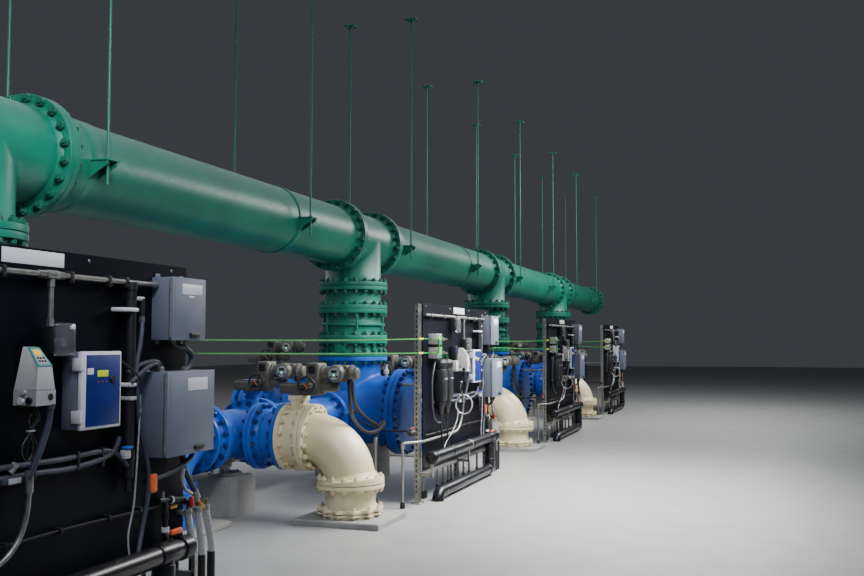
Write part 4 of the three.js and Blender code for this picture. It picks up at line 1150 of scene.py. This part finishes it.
# The sheet and its eight screws, the two wall boxes and the two readouts.
board_parts = [(plate(sheet_outline(-BOARD_LENGTH, 0.0, BOARD_LOW, BOARD_HIGH, 0.020), "y", FRONT,
                      FRONT + 0.012), SHEET)]
board_parts += [(turned([(-0.003, 0.007), (-0.001, 0.009), (0.001, 0.009)], "y", (x, FRONT, z), 12, 0.0),
                 ZINC) for x in (-2.36, -1.56, -0.85, -0.15) for z in (BOARD_HIGH - 0.030, BOARD_LOW + 0.030)]
board_parts += wall_box((-332, -5), (1572, 1912), 132, [((-240, -45), (1822, 1880)),
                                                        ((-175, -125), (1803, 1816))], (-120, 1600))
board_parts += wall_box((-416, 45), (955, 1403), 165, [((-225, -30), (1297, 1366))], (-110, 985))
board_parts += slanted_readout(-1.338, -1.214, 0.124) + film_readout(-1030, -737, 115)
# The sample switch box with its domed clear cover.
board_parts += [on_board((-1179, -1060), (1507, 1634), 66, DARK, 4),
                on_board((-1177, -1047), (1494, 1649), 100, CLEAR, 20, 64),
                straight((-1140, 70, 1560), (-1140, 96, 1560), 20, ZINC, 20)]
# The two meters with their transmitters and manifold bars. They are held 38 mm higher, because their
# heights were measured on the lowered boards.
meter_parts = turbidity_meter(-2090) + turbidity_meter(-1890)
for low, high in ((1540, 1645), (1400, 1510)):
    meter_parts += small_box((-2290, -2160), (low, high), 105)
    meter_parts.append(on_board((-2140, -1970), (low + 30, low + 75), 60, GREEN_PE, 4))
    meter_parts += [(turned([(0.0, 0.010), (0.030, 0.010), (0.030, 0.014), (0.046, 0.014)], "y",
                            (-2.120 + i * 0.045, FRONT - 0.105, (low + 52) / 1000), 10, 0.0), ZINC)
                    for i in range(4)]
board_parts += moved(meter_parts, z=-LOWERED[1])
# The standpipe: black pipe with couplings, its small drain below, clamps, and the board's name plate.
board_parts += [straight((-570, 42, z0), (-570, 42, z1), r, DARK, 24) for z0, z1, r in (
    (870, 1866, 28), (1830, 1870, 33), (1790, 1800, 31), (960, 1010, 33), (800, 880, 15))]
board_parts += [on_board((-680, -545), (1716, 1737), 76, WHITE, 6),
                on_board((-612, -528), (1332, 1354), 76, WHITE, 6),
                on_board((-600, -545), (1264, 1284), 76, BEIGE, 4),
                on_board((-1429, -1031), (1910, 1977), 2, WHITE, 0.8)]
for bay in range(BAYS):
    board = piece(f"analyser_board_{bay + 1}", moved(board_parts, x=FAR_ENDS[bay], z=LOWERED[bay]),
                  BOARD_FINISHES)
    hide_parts(f"panel_board_{bay + 1}")


# Board frames
# Galvanised strut channel: three posts on foot plates, the near one doubled, with three rails. In front,
# a black plastic drain pipe on brackets, with a leg to a second pipe on the floor. Behind, the steel
# sample pipe from the tee.
DRAIN_Y = FRONT - 0.105
DRAIN_Z = 0.440
LOW_Z = 0.075
POSTS_AT = ((-2.535, -2.450), (-1.245, -1.195), (-0.065, -0.015))
BACK = FRONT + 0.012 + GAP    # the back of the sheet
RAIL_LOW = 0.253
SAMPLE_PIPE_X = -0.250    # from the tee's middle
# Extruded PVC: deep black and smooth, with a clear highlight along its top.
black_pipe = finish_of("black_pvc_pipe", "#0A0B0F", "#101217", 0.008, (0.26, 0.36), bump=0.00004,
                       dust=0.05, patch=0.4, specular=0.4)


def channel(low, high, axis, at, half=0.0245):
    """A strut channel along an axis, open on one side with its lips turned in: a 12-point outline."""
    t, lip = 0.0026, 0.012
    outline = [(-half, half), (half, half), (half, -half), (half - lip, -half), (half - lip, t - half),
               (half - t, t - half), (half - t, half - t), (t - half, half - t), (t - half, t - half),
               (lip - half, t - half), (lip - half, -half), (-half, -half)]
    rows = np.stack([np.column_stack([np.full(12, along), outline]) for along in (low, high)])
    return shell(rows @ AXES[axis] + np.array(at, float))


def pipe_length(axis, low, high, at, collars):
    """A plastic pipe with a socket collar at each of the given places along it."""
    profiles = [[(low, 0.050), (low + 0.003, 0.057), (high - 0.003, 0.057), (high, 0.050)]]
    profiles += [[(start, 0.058), (start + 0.002, 0.063), (end - 0.002, 0.063), (end, 0.058)]
                 for start, end in collars]
    return [(turned(profile, axis, at, 40), PIPE) for profile in profiles]


drain_leg_x = -0.337
# Frame parts take these finish numbers; the slots take the black moulding as painted shade for the holes.
STEEL, PIPE, SLOT_SHADE = range(3)
frame_finishes = [galvanised, black_pipe, black_polyamide]
for bay in range(BAYS):
    top = BOARD_HIGH + LOWERED[bay] - 0.010
    parts = []
    for x0, x1 in POSTS_AT:
        # The post: two channels 42.5 mm apart at the near end, one wider channel elsewhere.
        half = 0.0212 if x1 - x0 > 0.06 else 0.0248
        parts += [(channel(0.006, top, "z", (x + half, BACK + 0.0248, 0), half), STEEL)
                  for x in np.arange(x0, x1 - 0.03, 0.0425)]
        parts.append((rounded_box((x0 - 0.020, BACK - 0.025, 0.0), (x1 + 0.020, BACK + 0.075, 0.008), 0.002,
                                  2), STEEL))
        parts += [(nut("z", (x, BACK + y, 0.008), 0.008, 0.009), STEEL)
                  for x in (x0 - 0.010, x1 + 0.010) for y in (-0.015, 0.065)]
        # The slots in its side, every 50 mm: flat black patches on the solid channel, painted shade where the
        # holes would show its dark inside.
        parts += [(rounded_box((x0 - 0.0006, BACK + 0.018, z), (x0 + 0.002, BACK + 0.032, z + 0.028),
                               0.0008, 2, "x"), SLOT_SHADE) for z in np.arange(0.100, top - 0.060, 0.050)]
        # The drain pipe's bracket: an arm, an upright and, but for the far post, a band round the pipe.
        low = RAIL_LOW + 0.002
        parts += [
            (rounded_box((x1 - 0.042, DRAIN_Y - 0.010, low), (x1 - 0.008, BACK + 0.010, low + 0.030),
                         0.002, 2, "y"), STEEL),
            (rounded_box((x1 - 0.042, DRAIN_Y - 0.012, low), (x1 - 0.008, DRAIN_Y + 0.012, DRAIN_Z - 0.037),
                         0.002, 2, "z"), STEEL)]
        if x1 < -0.2:
            parts.append((turned([(x1 - 0.038, 0.058), (x1 - 0.037, 0.060), (x1 - 0.013, 0.060),
                                  (x1 - 0.012, 0.058)], "x", (0, DRAIN_Y, DRAIN_Z), 32), STEEL))
    for z in (RAIL_LOW, 1.060, top - 0.080):
        parts.append((rounded_box((POSTS_AT[0][0] + 0.005, BACK + 0.004, z),
                                  (POSTS_AT[2][1] - 0.005, BACK + 0.045, z + 0.041), 0.002, 2), STEEL))
    parts += pipe_length("x", -2.500, -0.110, (0, DRAIN_Y, DRAIN_Z), (
        (-1.900, -1.830), (-1.180, -1.110), (-0.412, -0.262)))
    # Its domed end caps, the leg down, the pipe along the floor and that one's elbow into the floor.
    parts += [(turned([(end, 0.020), (end + way * 0.005, 0.044), (end + way * 0.016, 0.060),
                       (end + way * 0.028, 0.065), (end + way * 0.105, 0.065), (end + way * 0.108, 0.057)],
                      "x", (0, DRAIN_Y, DRAIN_Z), 40), PIPE) for end, way in ((-2.517, 1), (-0.093, -1))]
    parts += pipe_length("z", LOW_Z, DRAIN_Z, (drain_leg_x, DRAIN_Y, 0), (
        (LOW_Z + 0.05, LOW_Z + 0.12), (DRAIN_Z - 0.12, DRAIN_Z - 0.05)))
    parts += pipe_length("x", -2.200, drain_leg_x + 0.057, (0, DRAIN_Y, LOW_Z), (
        (drain_leg_x - 0.13, drain_leg_x - 0.06), (-2.190, -2.120)))
    elbow_route = [(-2.190, DRAIN_Y, LOW_Z), (-2.225, DRAIN_Y, LOW_Z), (-2.262, DRAIN_Y, LOW_Z - 0.016),
                   (-2.285, DRAIN_Y, 0.030), (-2.290, DRAIN_Y, 0.004)]
    parts.append((shell(tube_rings(smooth_route(elbow_route, 3), 0.060, 32)), PIPE))
    # The sample pipe runs across to the tee, so its place along the board is worked out from the tee's.
    sample_x = bay * BAY + SAMPLE_PIPE_X - FAR_ENDS[bay]
    parts.append((turned([(-1.375, 0.012), (-1.372, 0.014), (-0.735, 0.014), (-0.735, 0.020),
                          (-0.705, 0.020), (-0.705, 0.014), (-0.6893, 0.014)], "y", (sample_x, 0, 1.080),
                         16), STEEL))
    base = piece(f"board_frame_and_drain_{bay + 1}", moved(parts, x=FAR_ENDS[bay]), frame_finishes)
    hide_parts(f"panel_frame_{bay + 1}")


# Board tubing and small fittings
# Galvanised conduit along the top, flexible conduits between the boxes, sample tubes with their valves
# and brass elbows, and thin lines in clips. All of it hangs with its board.
tubing = [
    straight((-2440, 30, 1870), (-330, 30, 1870), 13, ZINC, 16),
    straight((-372, 30, 1870), (-330, 30, 1870), 20, ZINC, 16),
    on_board((-1195, -1100), (1850, 1890), 52, ZINC, 14),
    straight((-1235, 30, 1870), (-1060, 30, 1870), 18, ZINC, 6),
    straight((-1150, 30, 1880), (-1150, 30, 1630), 13, ZINC, 16),
    straight((-1150, 30, 1850), (-1150, 30, 1815), 18, ZINC, 6),
    straight((-1150, 30, 1665), (-1150, 30, 1630), 18, ZINC, 6)]
for x in (-2300, -1900, -1455, -1020, -740, -600):
    tubing += [on_board((x - 13, x + 13), (1838, 1893), 46, DARK, 4),
               (nut("y", (x / 1000, FRONT - 0.052, 1.848), 0.009, 0.008), DARK)]
# Between the wall boxes: a flexible loop, and a pair of conduits into the lower one's top.
tubing += [
    hose([(-222, 60, 1572), (-202, 60, 1545), (-155, 62, 1536), (-107, 64, 1531), (-50, 66, 1500),
          (-34, 66, 1462), (-60, 66, 1428), (-105, 66, 1405)], 16, FLEX, 14),
    straight((-222, 60, 1574), (-222, 60, 1552), 21, ZINC, 6),
    straight((-112, 66, 1424), (-112, 66, 1403), 21, ZINC, 6),
    hose([(-600, 50, 1404), (-568, 52, 1416), (-503, 58, 1442), (-425, 66, 1458), (-369, 70, 1454),
          (-345, 70, 1430), (-340, 70, 1405)], 12, FLEX, 14),
    hose([(-600, 70, 1352), (-559, 72, 1376), (-475, 76, 1424), (-418, 80, 1444), (-388, 80, 1440),
          (-372, 80, 1405)], 12, FLEX, 14),
    (turned([(1.403, 0.020), (1.424, 0.020), (1.430, 0.014)], "z", (-0.340, FRONT - 0.070, 0), 6, 0.0), ZINC)]
# Beside the standpipe: black pipe with brass ends, a flexible tube, a thin clear tube, small valves.
tubing += [
    straight((-478, 45, 1790), (-478, 45, 1690), 14, DARK, 14),
    straight((-555, 45, 1787), (-470, 45, 1787), 12, BEIGE, 12),
    straight((-478, 45, 1695), (-478, 45, 1664), 16, ZINC, 6),
    hose([(-478, 48, 1674), (-495, 55, 1600), (-512, 58, 1533), (-540, 60, 1431), (-546, 74, 1320),
          (-536, 74, 1220), (-519, 70, 1133), (-450, 66, 954), (-425, 64, 859), (-431, 64, 746),
          (-475, 66, 603), (-540, 85, 465)], 12, FLEX, 14),
    hose([(-531, 80, 1290), (-531, 80, 1209), (-537, 74, 986), (-555, 70, 736), (-603, 74, 589),
          (-609, 90, 465)], 5, VINYL, 8),
    straight((-531, 80, 1225), (-531, 80, 1200), 10, ZINC, 6),
    on_board((-655, -605), (972, 1022), 88, BEIGE, 10, 50),
    on_board((-655, -598), (1024, 1036), 96, BLUE, 4, 60),
    hose([(-745, 100, 1480), (-680, 112, 1440), (-600, 110, 1395), (-548, 90, 1345), (-535, 80, 1290)],
          4.5, DARK, 8)]
# Two rows of flexible conduit across the board, with straps, and an oval conduit body.
tubing += [
    hose([(-1800, 35, 1020), (-1471, 35, 1023), (-1211, 36, 1020), (-1019, 36, 1018), (-832, 38, 1026),
          (-721, 40, 1020), (-652, 50, 985), (-590, 50, 930)], 14, FLEX, 12),
    hose([(-1800, 35, 975), (-1471, 35, 977), (-1211, 36, 975), (-1019, 36, 968), (-810, 40, 984),
          (-712, 46, 1010), (-680, 52, 1045), (-662, 54, 1085)], 14, FLEX, 12),
    on_board((-1455, -1310), (946, 986), 58, FLEX, 16),
    on_board((-1420, -1345), (950, 976), 64, BEIGE, 12, 56),
    straight((-1392, 36, 995), (-1355, 36, 1030), 18, ZINC, 8),
    hose([(-1230, 105, 1262), (-1236, 105, 1200), (-1275, 95, 1080), (-1312, 80, 985), (-1312, 74, 935)],
          15, FLEX, 14)]
for x in (-1740, -1250, -960, -780):
    tubing.append(on_board((x - 9, x + 9), (955, 1044), 53, DARK, 3, 18))
# Below the lower wall box: orange handles, a thin black line in clips with its valve, and a short
# black riser with a white ring.
tubing += [
    hose([(-35, 80, 957), (-45, 80, 925), (-90, 80, 900), (-188, 78, 869), (-300, 74, 850),
          (-395, 68, 838)], 14, FLEX, 14),
    on_board((-428, -370), (770, 868), 86, ORANGE, 12, 66),
    straight((-400, 20, 830), (-400, 70, 830), 13, DARK, 12),
    hose([(-2440, 28, 690), (-1461, 28, 687), (-1007, 28, 690), (-620, 28, 684), (-251, 28, 678),
          (-120, 34, 700)], 7, DARK, 8),
    straight((-300, 45, 712), (-55, 45, 684), 13, DARK, 12),
    straight((-205, 45, 701), (-165, 45, 696), 19, DARK, 8),
    straight((-268, 45, 712), (-268, 45, 755), 11, ZINC, 12),
    straight((-195, 45, 700), (-180, 45, 698), 21, WHITE, 16),
    on_board((-215, -145), (652, 670), 60, BRASS, 4, 30),
    straight((-238, 45, 706), (-238, 45, 470), 14, DARK, 14),
    straight((-238, 45, 560), (-238, 45, 535), 22, WHITE, 18),
    straight((-238, 45, 640), (-238, 45, 600), 20, DARK, 6),
    straight((-238, 45, 530), (-238, 85, 470), 18, DARK, 12),
    on_board((-280, -170), (522, 556), 118, ORANGE, 14, 92),
    straight((-225, 70, 515), (-225, 100, 535), 14, DARK, 10)]
for x in (-2100, -1400, -1050, -700, -450):
    tubing.append(on_board((x - 10, x + 10), (676, 702), 40, DARK, 2))
# The black cable under the slanted readout hangs in a tied bundle of five strands.
for i, way in enumerate((-22, 16, -10, 24, 4)):
    x = -1288 + 6 * i
    tubing.append(hose([(x, 70, 1262), (x + way, 62, 1220), (x - way * 0.3, 45, 1168),
                        (x + way * 1.6, 40, 1100), (x + way, 38, 1050), (x - way, 36, 1025)], 4.5, DARK, 6))
tubing.append(on_board((-1296, -1258), (1164, 1172), 56, WHITE, 2, 34))
# Tubes of the meters: the first one's green feed goes up into the upper manifold bar, the other's
# bends across to the end of the lower bar.
for x, feed in ((-2090, [(-2030, 68, 1460), (-2050, 66, 1540), (-2060, 45, 1612)]),
                (-1890, [(-1810, 56, 1420), (-1870, 48, 1478), (-1972, 40, 1490)])):
    tubing += [
        hose([(x, 64, 868), (x + 10, 62, 790), (x + 60, 56, 690), (x + 80, 60, 590), (x + 70, 85, 470)],
              8, DARK, 8),
        hose([(x + 105, 50, 1248), (x + 104, 58, 1330)] + feed, 7, GREEN_PE, 8),
        straight((x + 105, 50, 923), (x + 105, 50, 868), 12, BRASS, 6)]
# The lower transmitter's conduit, in a loop down to the first meter's drain.
tubing.append(hose([(-2200, 50, 1440), (-2330, 60, 1250), (-2345, 60, 1050), (-2290, 60, 870),
                    (-2170, 60, 800), (-2100, 64, 790)], 9, FLEX, 8))


# Hoses, boots and stub conduits under the boards
# A clamp bar holds three clear hoses, which drop into black pipes on the floor at the board's far end.
# Galvanised conduits in black boots rise from the floor behind the board's lower edge.
underside = [
    hose([(-110, 60, 960), (-86, 60, 858), (-35, 60, 790), (31, 60, 700)], 16, FLEX, 14),
    hose([(-130, 85, 865), (-150, 90, 810), (-120, 90, 750), (-40, 80, 715)], 10, VINYL, 12),
    straight((16, 60, 722), (46, 60, 676), 22, ZINC, 14),
    on_board((-62, -28), (636, 700), 94, RED, 10, 74),
    straight((-45, 20, 665), (-45, 80, 665), 11, DARK, 12),
    straight((20, 60, 690), (115, 60, 610), 11, BRASS, 12),
    on_board((-76, 175), (596, 618), 42, ZINC, 3, 30),
    on_board((-76, 0), (598, 616), 32, ZINC, 2)]
for head, foot in ((-37, 13), (62, 102), (146, 205)):
    underside += [
        hose([(head, 58, 625), (head, 58, 590), (head + 0.6 * (foot - head), 60, 475), (foot, 60, 380),
              (foot, 60, 310)], 20.5, VINYL, 18),
        straight((head, 58, 620), (head, 58, 596), 22.5, ZINC, 18),
        straight((head, 58, 625), (head, 58, 655), 12, BRASS, 6),
        straight((foot, 60, 345), (foot, 60, 0), 23.5, DARK, 20)]
# From the coupling down the readout's conduit is rigid, and runs out to the board's near end.
underside += [
    straight((-1312, 74, 1000), (-1312, 74, 905), 19, ZINC, 14),
    hose([(-1312, 74, 915), (-1313, 66, 818), (-1336, 58, 728), (-1387, 52, 660), (-1454, 46, 620),
          (-1560, 40, 604), (-1700, 36, 602)], 13, ZINC, 14),
    straight((-1700, 36, 602), (-2545, 36, 602), 13, ZINC, 16),
    straight((-1720, 36, 602), (-1680, 36, 602), 18, ZINC, 6)]
# The stub conduits stand 79 mm behind the board's face and rise to 0.63 m.
for x in (-2206, -2149, -1754, -1567, -1387, -1280, -807, -587, -250):
    underside += [straight((x, -79, 20), (x, -79, 630), 12.5, ZINC, 14),
                  (turned([(0.0, 0.022), (0.005, 0.023), (0.060, 0.018), (0.075, 0.014)], "z",
                          (x / 1000, FRONT + 0.079, 0), 16), DARK)]
# Only the lowered boards show a second switch box near the top, a slim reader with a small display, and
# a coil of clear tube on a hook that turns its face to the aisle.
t = np.linspace(0, 2 * np.pi, 15)
coil = np.column_stack([-1448 + 27 * np.sin(t), 118 + 84 * np.sin(t), 931 + 102 * np.cos(t)])
lowered_extras = [
    hose(coil, 5.5, VINYL, 8, 3), hose(coil + [12, 4, 4], 5.5, VINYL, 8, 3),
    straight((-1448, 0, 1046), (-1448, 130, 1046), 5, ZINC, 8),
    hose([(-1470, 60, 870), (-1515, 70, 800), (-1640, 66, 690), (-1900, 60, 562), (-2037, 80, 490)],
          4.5, VINYL, 8),
    on_board((-1580, -1495), (1290, 1405), 75, BEIGE, 6),
    on_board((-1574, -1502), (1408, 1560), 68, DARK, 6),
    on_board((-1560, -1522), (1490, 1530), 71, NAVY, 1, 66),
    on_board((-1590, -1480), (1715, 1850), 66, DARK, 4),
    on_board((-1588, -1462), (1702, 1862), 100, CLEAR, 20, 64)]
for bay in range(BAYS):
    parts = moved(tubing + (lowered_extras if bay else []), z=LOWERED[bay]) + underside
    piece(f"board_tubing_{bay + 1}", moved(parts, x=FAR_ENDS[bay]), BOARD_FINISHES)


# Sample tubes
# Two bright green tubes run along the gallery from behind each board to the manifold of the next, with
# yellow tags where they pass its near post.
for bay in range(BAYS - 1):
    reach = (FAR_ENDS[bay + 1] - FAR_ENDS[bay]) * 1000
    post, manifold = reach - 2560, reach - 2300
    lines = []
    for near_z, far_z in ((1572, 1593), (1492, 1455)):
        lines += [
            hose([(-400, -24, near_z), (-40, -22, near_z), (250, 10, near_z),
                  (reach * 0.35, 30, (near_z + far_z) / 2 - 6), (post, 34, far_z), (post + 130, 80, far_z),
                  (manifold, 116, far_z)], 6.5, GREEN_PE, 8, 5),
            straight((post - 120, 33, far_z), (post, 34, far_z), 11, YELLOW, 12)]
    lines.append(straight((manifold, 116, 1597), (manifold, 116, 1450), 7.5, GREEN_PE, 8))
    piece(f"sample_tubes_{bay + 1}", moved(lines, x=FAR_ENDS[bay]), BOARD_FINISHES)


# Stub posts and small fittings by the pads
# Galvanised conduit posts with black boots, which take the actuators' flexible conduits, a brass ball
# valve on the 16 inch outlet, a small air valve on the tee and a sample line to the board.
POSTS = ((-1.810, -1.020, 0.640), (-1.936, -1.348, 0.610))
AIR_VALVE_Y = -0.420
CONDUIT, RUBBER, YELLOW_METAL, LEVER, CASE = range(5)
small_finishes = [galvanised, black_polyamide, brass, red_lever, beige_case]
turn = np.linspace(0, 2 * np.pi, 17)
wheel_rim = np.column_stack([0.050 * np.cos(turn), AIR_VALVE_Y - 0.050 * np.sin(turn), np.full(17, 1.330)])
sample_line = [(-0.515, -0.210, 0.775), (-0.580, -0.212, 0.772), (-0.780, -0.340, 0.735),
               (-1.200, -0.790, 0.670), (-1.520, -1.130, 0.680), (-1.680, -1.290, 0.698),
               (-1.825, -1.378, 0.690)]
# In order: the air valve with its wheel, the brass valve, the sample line and the red-handled valve.
small_fittings = [
    (turned([(1.150, 0.020), (1.186, 0.022), (1.190, 0.032), (1.235, 0.032), (1.240, 0.020), (1.290, 0.020),
             (1.292, 0.028), (1.312, 0.028)], "z", (0, AIR_VALVE_Y, 0), 18), CASE),
    (turned([(1.310, 0.008), (1.340, 0.008)], "z", (0, AIR_VALVE_Y, 0), 8, 0.0), RUBBER),
    (shell(tube_rings(wheel_rim, 0.007, 8)), RUBBER),
    (rounded_box((-0.046, -0.426, 1.326), (0.046, -0.414, 1.334), 0.003, 2, "x"), RUBBER),
    (rounded_box((-0.006, -0.466, 1.326), (0.006, -0.374, 1.334), 0.003, 2), RUBBER),
    (turned([(-0.520, 0.015), (-0.500, 0.019), (-0.440, 0.019), (-0.400, 0.014)], "x", (0, -0.210, 0.775),
            18), YELLOW_METAL),
    (rounded_box((-0.500, -0.218, 0.794), (-0.420, -0.202, 0.808), 0.004, 2, "x"), YELLOW_METAL),
    (shell(tube_rings(smooth_route(sample_line, 5), 0.011)), RUBBER),
    (turned([(-1.840, 0.020), (-1.835, 0.024), (-1.805, 0.024), (-1.800, 0.031), (-1.740, 0.031),
             (-1.735, 0.024), (-1.712, 0.024), (-1.708, 0.018)], "x", (0, -1.385, 0.689), 20), RUBBER),
    (rounded_box((-1.830, -1.394, 0.727), (-1.720, -1.376, 0.741), 0.004, 2, "x"), LEVER),
    (turned([(0.715, 0.010), (0.731, 0.010)], "z", (-1.770, -1.385, 0), 10, 0.0), LEVER)]
posts = []
for x, y, high in POSTS:
    posts += [
        (turned([(0.0, 0.0125), (0.002, 0.0135), (high - 0.045, 0.0135)], "z", (x, y, 0), 18), CONDUIT),
        (turned([(0.0, 0.024), (0.006, 0.026), (0.052, 0.021), (0.060, 0.015)], "z", (x, y, 0), 20), RUBBER),
        (turned([(high - 0.060, 0.017), (high - 0.058, 0.020), (high - 0.012, 0.020), (high, 0.016)], "z",
                (x, y, 0), 20), CONDUIT)]
for bay in range(BAYS):
    # From the second post a rigid conduit crosses to the board, which stands farther on in later bays.
    crossing = [(-1.936, -1.348, 0.570), (-1.932, -1.349, 0.592), (-1.900, -1.352, 0.603)]
    crossing += ([(-1.760, -1.362, 0.604), (-0.978, -1.372, 0.604)] if bay == 0 else
                 [(-1.780, -1.410, 0.602), (-1.690, -1.450, 0.602), (-1.600, -1.463, 0.602)])
    conduit = [(shell(tube_rings(smooth_route(crossing, 4), 0.0125, 14)), CONDUIT)]
    piece(f"stub_posts_{bay + 1}", moved(posts + conduit + small_fittings, x=bay * BAY), small_finishes)
